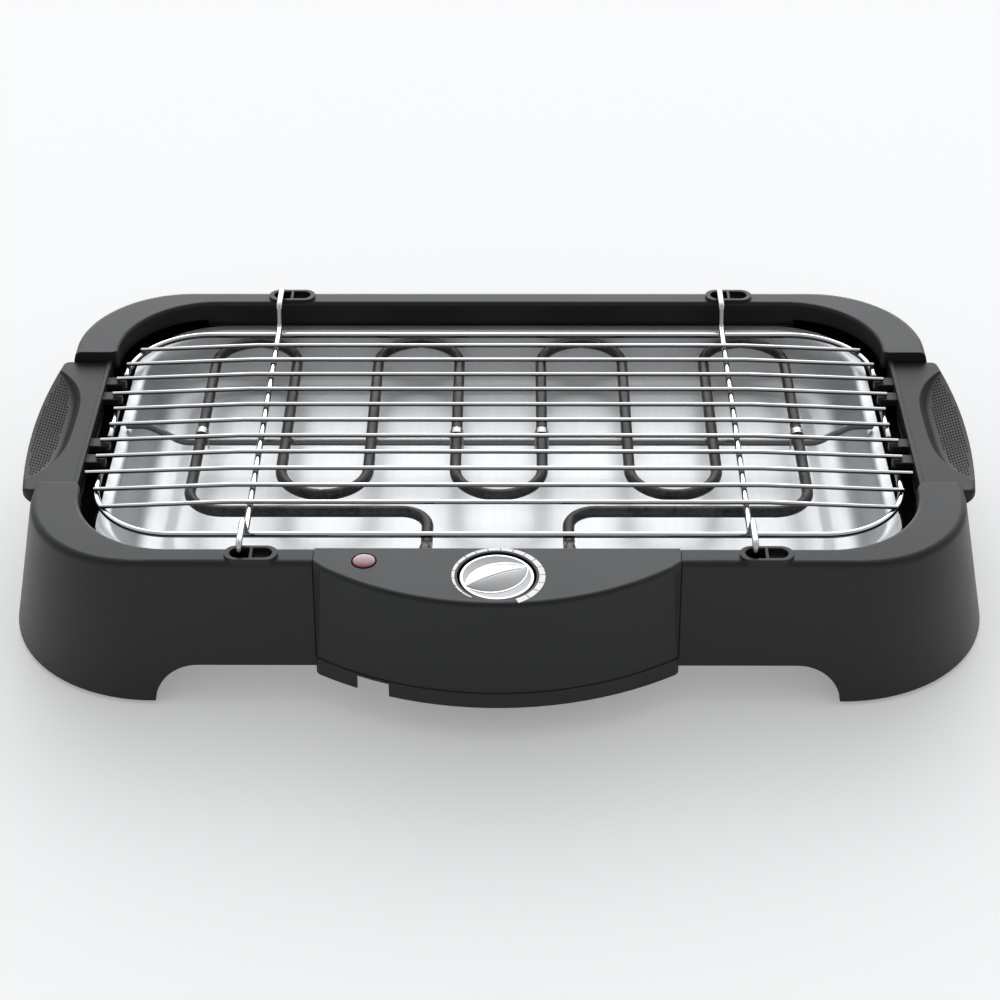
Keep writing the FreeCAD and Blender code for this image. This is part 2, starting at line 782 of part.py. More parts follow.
def post_places():
    """Plan places of the four screws that hold the cover to its base."""
    places = []
    for side in (-1, 1):
        places.append((side * post_outer_x, box_rear - post_outer_y))
        places.append((side * post_inner_x, box_rear - post_inner_y))
    return places


def control_base():
    """Floor of the control box, with countersinks for the screws and a hole for the cord gland."""
    low = control_outline(control_bottom, control_nose_low, control_facet_bottom, 0.0)
    face = Part.Face(low).makeOffset2D(-cover_wall - base_gap)
    plate = face.extrude(Vector(0, 0, base_thick))
    holes = [upright(gland_radius + joint_fit, notch_x, gland_y, 0.0, far)]
    for x, y in post_places():
        holes.append(upright(screw_radius + screw_clearance, x, y, 0.0, far))
        holes.append(upright(screw_head_radius + screw_clearance, x, y, 0.0,
                             control_bottom + screw_head_height + screw_clearance))
    return plate.cut(holes)


def cover_screws():
    """Screws from below the base into the cover's posts."""
    screws = []
    seat = control_bottom + screw_head_height + screw_clearance
    for x, y in post_places():
        screws.append(screw(Vector(x, y, seat), Vector(0, 0, 1), base_top + screw_grip - seat))
    return Part.makeCompound(screws)


def rear_plate():
    """Steel heat plate that closes the control box behind and carries the element."""
    half = box_half_length - cover_wall - seam_gap
    plate = box(-half, half, box_rear - rear_plate_thick, box_rear, base_top, cover_underside)
    for side in (-1, 1):
        plate = plate.cut(level_rod(bushing_neck + joint_fit, side * tail_x, tail_axis, -far, far))
    return plate


# Knob and thermostat

def knob():
    """Turning knob: a cup with a hub, and a leaf-shaped grip that rises to a ridge."""
    body = upright(knob_radius, 0, knob_y, well_floor + knob_lift, knob_rim)
    body = body.makeFillet(knob_skirt_wall / 2.0, edges_at_height(body, knob_rim))
    dish = upright(knob_radius - knob_skirt_wall, 0, knob_y, knob_dish, far)
    room = upright(knob_radius - knob_skirt_wall, 0, knob_y, 0.0, knob_dish - knob_top_thick)
    hub = upright(knob_hub_radius, 0, knob_y, well_floor + nut_thick + knob_lift / 2.0, knob_dish)
    body = body.cut([dish, room]).fuse([hub, knob_grip(knob_dish)]).removeSplitter()
    bore = upright(shaft_radius + joint_fit, 0, knob_y, 0.0, knob_dish)
    return body.cut(bore)


def knob_grip(z):
    """Grip bar: two arcs that meet in points, drawn up to a ridge that dips to the rim at both ends."""
    reach = knob_radius - knob_skirt_wall / 2.0
    ends = [Vector(-reach, 0, z), Vector(reach, 0, z)]
    sides = [Vector(0, -knob_grip_half_width, z), Vector(0, knob_grip_half_width, z)]
    plan = Part.Wire([Part.Arc(ends[0], sides[0], ends[1]).toShape(),
                      Part.Arc(ends[1], sides[1], ends[0]).toShape()])
    bar = Part.Face(plan).extrude(Vector(0, 0, knob_grip_rise))
    crown = knob_grip_rise - knob_dish_depth
    ball = (reach ** 2 + crown ** 2) / (2.0 * crown)
    bar = bar.common(Part.makeSphere(ball, Vector(0, 0, z + knob_grip_rise - ball)))
    slope = math.degrees(math.atan2(knob_grip_rise - knob_grip_edge, knob_grip_half_width))
    for side in (-1, 1):
        cutter = box(-far, far, 0.0, far, 0.0, far)
        cutter.rotate(Vector(0, 0, 0), Vector(1, 0, 0), -slope)
        if side < 0:
            cutter = cutter.mirror(Vector(0, 0, 0), Vector(0, 1, 0))
        cutter.translate(Vector(0, 0, z + knob_grip_rise))
        bar = bar.cut(cutter)
    bar.rotate(Vector(0, 0, z), Vector(0, 0, 1), knob_pointer_angle)
    bar.translate(Vector(0, knob_y, 0))
    return bar


def thermostat():
    """Thermostat body with its neck through the well's floor."""
    body = box(-thermostat_length / 2.0, thermostat_length / 2.0,
               knob_y - thermostat_width / 2.0, knob_y + thermostat_width / 2.0,
               thermostat_foot, thermostat_top)
    neck = upright(bush_radius, 0, knob_y, thermostat_top, well_floor + nut_thick)
    bore = upright(shaft_radius + shaft_running_gap, 0, knob_y,
                   thermostat_top - thermostat_height / 2.0, far)
    return body.fuse(neck).removeSplitter().cut(bore)


def thermostat_bracket():
    """Plate between the thermostat and the well, with two tabs that stop it turning."""
    top = well_floor - cover_wall
    half = bracket_length / 2.0
    plate = box(-half, half, knob_y - bracket_width / 2.0, knob_y + bracket_width / 2.0,
                top - bracket_thick, top)
    tabs = []
    for side in (-1, 1):
        reach = sorted((side * (half - bracket_thick), side * half))
        tabs.append(box(reach[0], reach[1], knob_y - bracket_width / 4.0, knob_y + bracket_width / 4.0,
                        top - bracket_thick - thermostat_height / 3.0, top))
    plate = plate.fuse(tabs).removeSplitter()
    return plate.cut(upright(bush_radius + joint_fit, 0, knob_y, 0.0, far))


def thermostat_nut():
    """Hexagon nut that clamps the thermostat under the well's floor."""
    corner = nut_across_flats / math.sqrt(3.0)
    points = []
    for step in range(7):
        angle = step * math.pi / 3.0
        points.append(Vector(corner * math.cos(angle), knob_y + corner * math.sin(angle), well_floor))
    nut = Part.Face(Part.makePolygon(points)).extrude(Vector(0, 0, nut_thick))
    return nut.cut(upright(bush_radius + joint_fit, 0, knob_y, 0.0, far))


def thermostat_shaft():
    """Shaft that the knob turns."""
    foot_z = thermostat_top - thermostat_height / 2.0 + rest_gap
    return upright(shaft_radius, 0, knob_y, foot_z, knob_dish - rest_gap)


def indicator_lens():
    """Domed lamp lens with a hollow stem."""
    ball = (lamp_radius ** 2 + lamp_rise ** 2) / (2.0 * lamp_rise)
    dome = Part.makeSphere(ball, Vector(lamp_x, lamp_y, rim_height + lamp_rise - ball))
    dome = dome.common(upright(lamp_radius, lamp_x, lamp_y, rim_height, far))
    low = rim_height - lamp_stem_length
    stem = upright(lamp_stem_radius, lamp_x, lamp_y, low, rim_height)
    room = upright(bulb_radius + joint_fit, lamp_x, lamp_y, low, rim_height - lamp_rise)
    return dome.fuse(stem).removeSplitter().cut(room)


def indicator_bulb():
    """Small lamp held in the lens's stem."""
    top = rim_height - lamp_rise - rest_gap
    bulb = upright(bulb_radius, lamp_x, lamp_y, top - bulb_length, top)
    return bulb.makeFillet(bulb_radius / 2.0, edges_at_height(bulb, top))


# Wiring

def cord_gland():
    """Bush in the base where the supply cord leaves, above the lip's notch."""
    tube = upright(gland_radius, notch_x, gland_y, control_bottom - gland_drop, base_top)
    rim = upright(gland_radius + gland_flange, notch_x, gland_y, base_top, base_top + gland_flange)
    return tube.fuse(rim).removeSplitter().cut(upright(gland_bore, notch_x, gland_y, 0.0, far))


def terminal_block():
    """Terminal block on the base, with two screw wells in its top."""
    y = box_rear - block_setback
    top = base_top + block_height
    block = box(block_x - block_length / 2.0, block_x + block_length / 2.0,
                y - block_width / 2.0, y + block_width / 2.0, base_top, top)
    for side in (-1, 1):
        block = block.cut(upright(screw_radius, block_x + side * block_length / 4.0,
                                  y + block_width / 4.0, top - block_height / 2.0, top))
    return block


def leads():
    """Insulated leads between gland, block, thermostat, lamp and element."""
    tail_y = tail_end_y - terminal_length / 2.0
    pin_under = tail_axis - terminal_radius
    block_y = box_rear - block_setback
    block_top = base_top + block_height
    side = thermostat_length / 2.0
    low = thermostat_foot + thermostat_height * lead_low_share
    high = thermostat_foot + thermostat_height * lead_high_share
    over = pin_under - lead_under_pin
    block_left = block_x - block_length / 2.0
    gland_top = base_top + gland_flange
    across = gland_top + lead_over_gland
    turn_x = block_left - lead_before_block
    bulb_foot = rim_height - lamp_rise - rest_gap - bulb_length
    routes = (
        [(block_x - lead_step, block_y, block_top), (block_x - lead_step, block_y, over),
         (tail_x, block_y, over), (tail_x, tail_y, over), (tail_x, tail_y, pin_under)],
        [(-side, tail_y, high), (-tail_x, tail_y, high), (-tail_x, tail_y, pin_under)],
        [(side, knob_y, high), (block_x, knob_y, high), (block_x, block_y - lead_step, high),
         (block_x, block_y - lead_step, block_top)],
        [(notch_x, gland_y, gland_top), (notch_x, gland_y, across), (turn_x, gland_y, across),
         (turn_x, block_y, across), (block_left, block_y, across)],
        [(lamp_x, lamp_y, bulb_foot), (lamp_x, lamp_y, low), (lamp_x, knob_y, low), (-side, knob_y, low)],
    )
    wires = []
    for route in routes:
        wires.append(bent_rod([Vector(*point) for point in route], lead_bend, lead_radius))
    return Part.makeCompound(wires)


# Heater

def leg_x(index):
    """Place of one of the element's long legs, counted from the left."""
    return (index - (tube_legs - 1) / 2.0) * tube_pitch


def heating_element():
    """One tube: two tails, two front runs and the legs joined by half-round bends."""
    loop = tube_pitch / 2.0
    tail = [(tail_end_y, tail_axis), (tail_rise_end, tail_axis), (tail_rise_start, tube_axis)]
    points = [Vector(-tail_x, y, z) for y, z in tail]
    bends = [tail_rise_bend, tail_rise_bend, tail_bend, tube_corner]
    points.append(Vector(-tail_x, tube_run_y, tube_axis))
    points.append(Vector(leg_x(0), tube_run_y, tube_axis))
    for index in range(tube_legs):
        ends = (tube_front_y, tube_rear_y) if index % 2 == 0 else (tube_rear_y, tube_front_y)
        if index > 0:
            points.append(Vector(leg_x(index), ends[0], tube_axis))
            bends.append(loop)
        if index < tube_legs - 1:
            points.append(Vector(leg_x(index), ends[1], tube_axis))
            bends.append(loop)
    points.append(Vector(leg_x(tube_legs - 1), tube_run_y, tube_axis))
    points.append(Vector(tail_x, tube_run_y, tube_axis))
    points.extend(Vector(tail_x, y, z) for y, z in reversed(tail))
    bends.extend([tube_corner, tail_bend, tail_rise_bend, tail_rise_bend])
    tube = bent_rod(points, bends, tube_radius)
    sockets = []
    for side in (-1, 1):
        sockets.append(level_rod(terminal_radius + joint_fit, side * tail_x, tail_axis,
                                 tail_end_y, tail_end_y + terminal_sunk))
    return tube.cut(sockets)


def element_bushings():
    """Two bushes that hold the tube's ends in the rear plate."""
    bushes = []
    for side in (-1, 1):
        x = side * tail_x
        neck = level_rod(bushing_neck, x, tail_axis, box_rear - rear_plate_thick, box_rear)
        inner = level_rod(bushing_radius, x, tail_axis, box_rear - rear_plate_thick - bushing_flange,
                          box_rear - rear_plate_thick)
        outer = level_rod(bushing_radius, x, tail_axis, box_rear, box_rear + bushing_flange)
        bore = level_rod(tube_radius + joint_fit, x, tail_axis, -far, far)
        bushes.append(neck.fuse([inner, outer]).removeSplitter().cut(bore))
    return Part.makeCompound(bushes)


def element_terminals():
    """Two contact pins in the tube's ends."""
    pins = []
    for side in (-1, 1):
        pins.append(level_rod(terminal_radius, side * tail_x, tail_axis,
                              tail_end_y - terminal_length, tail_end_y + terminal_sunk))
    return Part.makeCompound(pins)


def support_rod():
    """Rod under the tubes, cranked up at both ends to rest on the pan's flange."""
    end_axis = pan_top + rod_radius + rest_gap
    half = [(leg_x(tube_legs - 1) + rod_past_leg, rod_axis),
            (pan_inner_length - rod_before_flange, end_axis),
            (pan_half_length - rod_end_gap, end_axis)]
    points = [Vector(-x, rod_y, z) for x, z in reversed(half)]
    points.extend(Vector(x, rod_y, z) for x, z in half)
    return bent_rod(points, rod_bend, rod_radius)


def element_clips():
    """Straps over the tube, threaded on the rod."""
    clips = []
    low = rod_axis - clip_below_rod
    inner = tube_radius + joint_fit
    outer = inner + clip_sheet
    for index in (0, 3, 4, 7):
        x = leg_x(index)
        y_low = rod_y - clip_width / 2.0
        y_high = rod_y + clip_width / 2.0
        arch = level_rod(outer, x, tube_axis, y_low, y_high)
        arch = arch.fuse(box(x - outer, x + outer, y_low, y_high, low, tube_axis))
        room = level_rod(inner, x, tube_axis, y_low, y_high)
        room = room.fuse(box(x - inner, x + inner, y_low, y_high, low, tube_axis))
        hole = Part.makeCylinder(rod_radius + joint_fit, 2.0 * outer,
                                 Vector(x - outer, rod_y, rod_axis), Vector(1, 0, 0))
        clips.append(arch.removeSplitter().cut([room.removeSplitter(), hole]))
    return Part.makeCompound(clips)


# Rack

def rim_reach(y):
    """Distance from the middle to the rack's rim wire, at one place across the rack."""
    over = abs(y) - (rack_half_width - rack_corner)
    if over <= 0.0:
        return rack_half_length
    return rack_half_length - rack_corner + math.sqrt(rack_corner ** 2 - over ** 2)


def rack_bars():
    """Thin bars, level in the middle and sloping down to the rim wires and fingers."""
    bars = []
    for index in range(bar_count):
        y = bar_y(index)
        extra = bar_over_rim
        if index in finger_bars:
            extra = bar_over_finger
        if index == long_bar:
            extra = long_bar_extra
        end = rim_reach(y) + extra
        half = [(bar_level_half, bar_axis), (end, bar_end_axis)]
        points = [Vector(-x, y, z) for x, z in reversed(half)]
        points.extend(Vector(x, y, z) for x, z in half)
        bars.append(bent_rod(points, bar_bend, bar_radius))
    return Part.makeCompound(bars)


def rack_rim(side):
    """U-shaped rim wire at the rear (1) or front (-1) of the rack."""
    y = side * rack_half_width
    if side > 0:
        end_y = bar_y(finger_bars[0]) + finger_width / 2.0 + rim_end_gap
    else:
        end_y = bar_y(long_bar) + front_rim_past_bar
    points = [Vector(-rack_half_length, end_y, rim_wire_axis), Vector(-rack_half_length, y, rim_wire_axis),
              Vector(rack_half_length, y, rim_wire_axis), Vector(rack_half_length, end_y, rim_wire_axis)]
    return bent_rod(points, rack_corner, rack_wire_radius)


def rack_side_bar(hand):
    """Short rim wire between the finger pairs."""
    rear = bar_y(first_side_bar) + side_bar_past_bar
    front = bar_y(finger_bars[2]) + finger_width / 2.0 + rim_end_gap
    return level_rod(rack_wire_radius, hand * rack_half_length, rim_wire_axis, front, rear)


def rack_cross(hand):
    """Cross wire under the bars, hooked up and over into the sockets at both ends."""
    top = cross_axis + hook_height
    floor = rim_height + socket_rise - deep_pocket_depth
    rise = rack_half_width + hook_past_rim
    half = [(rise, cross_axis), (rise + hook_rise_run, top), (socket_y, top), (socket_y, floor)]
    points = [Vector(hand * cross_x, -y, z) for y, z in reversed(half)]
    points.extend(Vector(hand * cross_x, y, z) for y, z in half)
    return bent_rod(points, hook_bend, rack_wire_radius)


def save(name, shape):
    """Shift a finished piece to the part's origin and write it."""
    placed = shape.copy()
    placed.translate(Vector(0, origin_shift, 0))
    placed.exportStep("parts/" + name + ".step")


def main():
    """Build and write every piece."""
    os.makedirs("parts", exist_ok=True)
    pieces = {
        "front_frame": front_frame(),
        "rear_frame": rear_frame(),
        "left_handle": left_handle(),
        "right_handle": right_handle(),
        "handle_screws": handle_screws(),
        "foot_front_left": foot(-1, -1),
        "foot_front_right": foot(1, -1),
        "foot_rear_left": foot(-1, 1),
        "foot_rear_right": foot(1, 1),
        "drip_pan": drip_pan(),
        "control_cover": control_cover(),
        "control_base": control_base(),
        "cover_screws": cover_screws(),
        "rear_plate": rear_plate(),
        "knob": knob(),
        "thermostat": thermostat(),
        "thermostat_bracket": thermostat_bracket(),
        "thermostat_nut": thermostat_nut(),
        "thermostat_shaft": thermostat_shaft(),
        "indicator_lens": indicator_lens(),
        "indicator_bulb": indicator_bulb(),
        "cord_gland": cord_gland(),
        "terminal_block": terminal_block(),
        "leads": leads(),
        "heating_element": heating_element(),
        "element_bushings": element_bushings(),
        "element_terminals": element_terminals(),
        "support_rod": support_rod(),
        "element_clips": element_clips(),
        "rack_bars": rack_bars(),
        "rack_rear_rim": rack_rim(1),
        "rack_front_rim": rack_rim(-1),
        "rack_side_bar_left": rack_side_bar(-1),
        "rack_side_bar_right": rack_side_bar(1),
        "rack_cross_left": rack_cross(-1),
        "rack_cross_right": rack_cross(1),
    }
    for name, shape in pieces.items():
        save(name, shape)
        print(name, len(shape.Solids), shape.isValid(), round(shape.Volume, 1))


main()
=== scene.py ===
"""Looks of an electric table grill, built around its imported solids.

Every piece is in the frame of the solids and rides on one of their bodies. Pieces are drawn in
millimetres and made in metres.
"""

from __future__ import annotations

import logging
import math
from dataclasses import dataclass, field
from enum import Enum
from typing import Iterable, Sequence

import bmesh
import bpy
from mathutils import Matrix, Quaternion, Vector
from mathutils.bvhtree import BVHTree

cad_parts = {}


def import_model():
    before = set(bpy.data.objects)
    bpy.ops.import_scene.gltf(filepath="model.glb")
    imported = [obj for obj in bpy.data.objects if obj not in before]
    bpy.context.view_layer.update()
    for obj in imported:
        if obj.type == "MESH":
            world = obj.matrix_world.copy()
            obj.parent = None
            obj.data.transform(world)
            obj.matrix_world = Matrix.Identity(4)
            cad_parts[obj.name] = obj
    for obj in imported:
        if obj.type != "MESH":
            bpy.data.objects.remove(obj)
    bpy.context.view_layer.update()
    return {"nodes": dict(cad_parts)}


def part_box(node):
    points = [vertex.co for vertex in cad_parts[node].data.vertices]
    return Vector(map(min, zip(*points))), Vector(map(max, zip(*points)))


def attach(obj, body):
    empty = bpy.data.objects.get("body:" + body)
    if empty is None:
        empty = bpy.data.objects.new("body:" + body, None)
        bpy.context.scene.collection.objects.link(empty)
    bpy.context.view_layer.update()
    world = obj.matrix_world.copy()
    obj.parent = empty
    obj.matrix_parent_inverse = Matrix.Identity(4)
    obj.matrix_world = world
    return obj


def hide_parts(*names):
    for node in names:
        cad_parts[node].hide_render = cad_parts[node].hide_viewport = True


LOG = logging.getLogger("grill")
MM = 0.001
FULL_TURN = 2.0 * math.pi
QUARTER_TURN = 0.5 * math.pi
SOLID_CREASE = 30.0
PIECE_CREASE = 35.0
SOFT_CREASE = 50.0
EDGE_SAMPLES = 6
Colour = tuple[float, float, float, float]
Point = tuple[float, float]
Material = bpy.types.Material
NodeTree = bpy.types.NodeTree
Socket = bpy.types.NodeSocket


class Body(str, Enum):
    """Bodies of the frame that pieces ride on."""

    BASE = "body"
    PAN = "pan"
    HEATER = "heater"
    KNOB = "knob"
    RACK = "rack"


class Side(Enum):
    """The two ends of the grill, by the sign of X."""

    LEFT = -1
    RIGHT = 1


# Shader building blocks


def grey(level: float, tint: float = 0.0) -> Colour:
    """A neutral colour, cooler with a positive tint."""
    return (level * (1.0 - tint), level, level * (1.0 + tint), 1.0)


def shade(colour: Colour, share: float) -> Colour:
    """A colour made lighter or darker by a share."""
    return tuple(channel * share for channel in colour[:3]) + (1.0,)


class NodeSheet:
    """Short-hand for filling one node tree."""

    def __init__(self, tree: NodeTree) -> None:
        """Keep the material's, world's or group's tree that nodes are added to."""
        self.tree = tree

    def fill(self, socket: Socket, value: object) -> None:
        """Join an output to a socket, or give the socket a plain value.

        Args:
            socket: The input socket.
            value: An output socket or a plain value.
        """
        if isinstance(value, Socket):
            self.tree.links.new(value, socket)
        else:
            socket.default_value = value

    def add(self, kind: str, inputs: dict | None = None, **settings: object) -> bpy.types.Node:
        """Add a node, set its properties and fill its sockets.

        Args:
            kind: The node's type name.
            inputs: Socket name or number to plain value or output socket.
            **settings: Properties of the node itself.

        Returns:
            The new node.
        """
        node = self.tree.nodes.new(kind)
        for key, value in settings.items():
            setattr(node, key, value)
        for key, value in (inputs or {}).items():
            self.fill(node.inputs[key], value)
        return node

    def ramp(self, factor: Socket, stops: Iterable[tuple[float, Colour]]) -> Socket:
        """Add a colour ramp.

        Args:
            factor: Output socket that drives the ramp.
            stops: Position and colour of each stop, in order.

        Returns:
            The ramp's colour output.
        """
        node = self.add("ShaderNodeValToRGB", {"Fac": factor})
        elements = node.color_ramp.elements
        for index, (position, colour) in enumerate(stops):
            element = elements[index] if index < len(elements) else elements.new(1.0)
            element.position = position
            element.color = colour
        return node.outputs["Color"]

    def spread(self, value: Socket, low: float, high: float) -> Socket:
        """Map a value from 0..1 to low..high."""
        inputs = {"Value": value, "To Min": low, "To Max": high}
        return self.add("ShaderNodeMapRange", inputs).outputs["Result"]

    def sum(self, operation: str, *values: object, clamp: bool = False) -> Socket:
        """Work one sum on numbers or output sockets, in the order of the node's inputs."""
        inputs = dict(enumerate(values))
        return self.add("ShaderNodeMath", inputs, operation=operation, use_clamp=clamp).outputs[0]

    def vectors(self, operation: str, *values: object, result: str = "Vector") -> Socket:
        """Work one sum on vectors or colours, in the order of the node's inputs."""
        inputs = dict(enumerate(values))
        return self.add("ShaderNodeVectorMath", inputs, operation=operation).outputs[result]

    def part(self, vector: Socket, axis: str) -> Socket:
        """Take the X, Y or Z of a vector."""
        return self.add("ShaderNodeSeparateXYZ", {"Vector": vector}).outputs[axis]


class GroupSheet(NodeSheet):
    """A new shader group with named value sockets."""

    def __init__(self, name: str, inputs: dict[str, float], outputs: Sequence[str]) -> None:
        """Make the group and the nodes that every group starts from.

        Args:
            name: Name of the group.
            inputs: Input name to default value.
            outputs: Names of the outputs.
        """
        super().__init__(bpy.data.node_groups.new(name, "ShaderNodeTree"))
        sockets = self.tree.interface
        for key, value in inputs.items():
            socket = sockets.new_socket(key, in_out="INPUT", socket_type="NodeSocketFloat")
            socket.default_value = value
        for key in outputs:
            sockets.new_socket(key, in_out="OUTPUT", socket_type="NodeSocketFloat")
        self.given = self.add("NodeGroupInput").outputs
        self.place = self.add("ShaderNodeTexCoord").outputs["Object"]

    def noise(self, place: Socket, scale: Socket, **values: float) -> Socket:
        """Add a noise texture between 0 and 1, with its other inputs by name."""
        return self.add("ShaderNodeTexNoise", {"Vector": place, "Scale": scale, **values}).outputs["Fac"]

    def close(self, **results: Socket) -> NodeTree:
        """Join results to the group's outputs by name, and return the finished group."""
        self.add("NodeGroupOutput", results)
        return self.tree


class ShaderGroups:
    """Effects that several finishes share, each built once."""

    def __init__(self) -> None:
        """Build every shared group."""
        self.grain = self._grain()
        self.patches = self._patches()
        self.streaks = self._streaks()
        self.low_inside = self._painted_inside_shade()

    def _grain(self) -> NodeTree:
        """Fine moulded grain: a height and a tone that go with it."""
        sheet = GroupSheet("moulded_grain", {"Scale": 900.0, "Coarse": 0.3, "Pits": 0.6}, ["Height", "Tone"])
        given = sheet.given
        fine = sheet.noise(sheet.place, given["Scale"], Detail=3.0)
        coarse = sheet.sum("MULTIPLY", given["Scale"], given["Coarse"])
        pits = sheet.add("ShaderNodeTexVoronoi", {"Vector": sheet.place, "Scale": coarse})
        both = sheet.sum("MULTIPLY_ADD", pits.outputs["Distance"], given["Pits"], fine)
        return sheet.close(Height=both, Tone=fine)

    def _patches(self) -> NodeTree:
        """Broad soft patches, as handling and wiping leave them."""
        sheet = GroupSheet("handled_patches", {"Scale": 18.0, "Contrast": 1.0, "Middle": 0.5}, ["Mask"])
        given = sheet.given
        noise = sheet.noise(sheet.place, given["Scale"], Detail=4.0, Distortion=0.6)
        shift = sheet.sum("SUBTRACT", noise, given["Middle"])
        wide = sheet.sum("MULTIPLY_ADD", shift, given["Contrast"], given["Middle"], clamp=True)
        return sheet.close(Mask=wide)

    def _streaks(self) -> NodeTree:
        """Fine lines along one direction, from drawing, rolling or brushing."""
        inputs = {"Across": 600.0, "Along X": 1.0, "Along Y": 0.02, "Along Z": 1.0}
        sheet = GroupSheet("drawn_streaks", inputs, ["Lines"])
        stretch = sheet.add("ShaderNodeCombineXYZ", {axis: sheet.given[f"Along {axis}"] for axis in "XYZ"})
        scaled = sheet.vectors("MULTIPLY", sheet.place, stretch.outputs[0])
        return sheet.close(Lines=sheet.noise(scaled, sheet.given["Across"], Detail=5.0, Roughness=0.65))

    def _painted_inside_shade(self) -> NodeTree:
        """Mask of the space low inside the ring, which little light reaches, for painted shade there: 1 there
        and 0 elsewhere.
        """
        limits = {"Half X": 0.2316, "Half Y": 0.1275, "Middle Y": 0.0136, "Top": 0.0745}
        sheet = GroupSheet("low_inside", limits, ["Mask"])
        given = sheet.given
        x, y, z = (sheet.part(sheet.place, axis) for axis in "XYZ")
        along = sheet.sum("LESS_THAN", sheet.sum("ABSOLUTE", x), given["Half X"])
        off_middle = sheet.sum("ABSOLUTE", sheet.sum("SUBTRACT", y, given["Middle Y"]))
        across = sheet.sum("LESS_THAN", off_middle, given["Half Y"])
        low = sheet.sum("LESS_THAN", z, given["Top"])
        return sheet.close(Mask=sheet.sum("MULTIPLY", sheet.sum("MULTIPLY", along, across), low))


class MaterialSheet(NodeSheet):
    """A new material with its principled shader, ready to dress."""

    def __init__(self, name: str, groups: ShaderGroups) -> None:
        """Make the material and its shader.

        Args:
            name: Name of the material.
            groups: The shared shader groups.
        """
        self.groups = groups
        self.material = bpy.data.materials.new(name)
        self.material.use_nodes = True
        super().__init__(self.material.node_tree)
        self.shader = self.tree.nodes["Principled BSDF"]

    def set(self, **values: object) -> None:
        """Fill the shader's sockets by name, with an underscore for each space."""
        for key, value in values.items():
            self.fill(self.shader.inputs[key.replace("_", " ")], value)

    def group(self, tree: NodeTree, **values: float) -> bpy.types.bpy_prop_collection:
        """Place a shared group with its own values, and return its outputs."""
        inputs = {key.replace("_", " "): value for key, value in values.items()}
        return self.add("ShaderNodeGroup", inputs, node_tree=tree).outputs

    def handled(self, look: Point) -> Socket:
        """Add handled patches with this scale and contrast, between 0 and 1."""
        return self.group(self.groups.patches, Scale=look[0], Contrast=look[1])["Mask"]

    def bump(self, height: Socket, strength: float, depth: float, edge: float = 0.0) -> None:
        """Feed a height to the shader's normal.

        Args:
            height: Output socket with the height.
            strength: Share of the bump that shows.
            depth: Depth of the bump in metres.
            edge: Radius that sharp edges are softened by, in metres.
        """
        node = self.add("ShaderNodeBump", {"Height": height, "Strength": strength, "Distance": depth})
        if edge > 0.0:
            soft = self.add("ShaderNodeBevel", {"Radius": edge}, samples=EDGE_SAMPLES)
            self.fill(node.inputs["Normal"], soft.outputs["Normal"])
        self.set(Normal=node.outputs["Normal"])


# Finishes


@dataclass(frozen=True)
class Finish:
    """A finish by name; each kind fills its own material."""

    name: str

    def build(self, groups: ShaderGroups) -> Material:
        """Make the material.

        Args:
            groups: The shared shader groups.

        Returns:
            The finished material.
        """
        sheet = MaterialSheet(self.name, groups)
        self.fill(sheet)
        return sheet.material

    def fill(self, sheet: MaterialSheet) -> None:
        """Join this kind's nodes to a new material's shader."""
        raise NotImplementedError


@dataclass(frozen=True)
class MouldedPlastic(Finish):
    """Moulded plastic, rubber or print with a fine grain. Depths are in metres."""

    colour: Colour
    roughness: float
    specular: float = 0.3
    grain_scale: float = 1400.0
    grain_depth: float = 0.00003
    grain_strength: float = 0.35
    grain_stops: Point = (0.3, 0.7)
    tone_spread: float = 0.25
    patches: Point = (14.0, 1.3)
    smoother: float = 0.04
    rougher: float = 0.05
    edge: float = 0.0
    inside_shade_share: float = 1.0

    def fill(self, sheet: MaterialSheet) -> None:
        """Join grain and patches, and paint shade on the low inside where a share is given.

        Args:
            sheet: The new material.
        """
        grain = sheet.group(sheet.groups.grain, Scale=self.grain_scale)
        patches = sheet.handled(self.patches)
        tones = (shade(self.colour, 1.0 - self.tone_spread), shade(self.colour, 1.0 + self.tone_spread))
        colour = sheet.ramp(grain["Tone"], zip(self.grain_stops, tones))
        rough = sheet.spread(patches, self.roughness - self.smoother, self.roughness + self.rougher)
        if self.inside_shade_share < 1.0:
            # Painted shade: low inside the ring the colour is darkened, the roughness raised and the metallic
            # set, so that it reads as dark shade.
            mask = sheet.group(sheet.groups.low_inside)["Mask"]
            inside = sheet.ramp(mask, [(0.0, grey(1.0)), (1.0, grey(self.inside_shade_share))])
            colour = sheet.vectors("MULTIPLY", colour, inside)
            rough = sheet.sum("MAXIMUM", rough, mask)
            sheet.set(Metallic=mask)
        sheet.set(Base_Color=colour, Roughness=rough, Specular_IOR_Level=self.specular)
        sheet.bump(grain["Height"], self.grain_strength, self.grain_depth, self.edge)


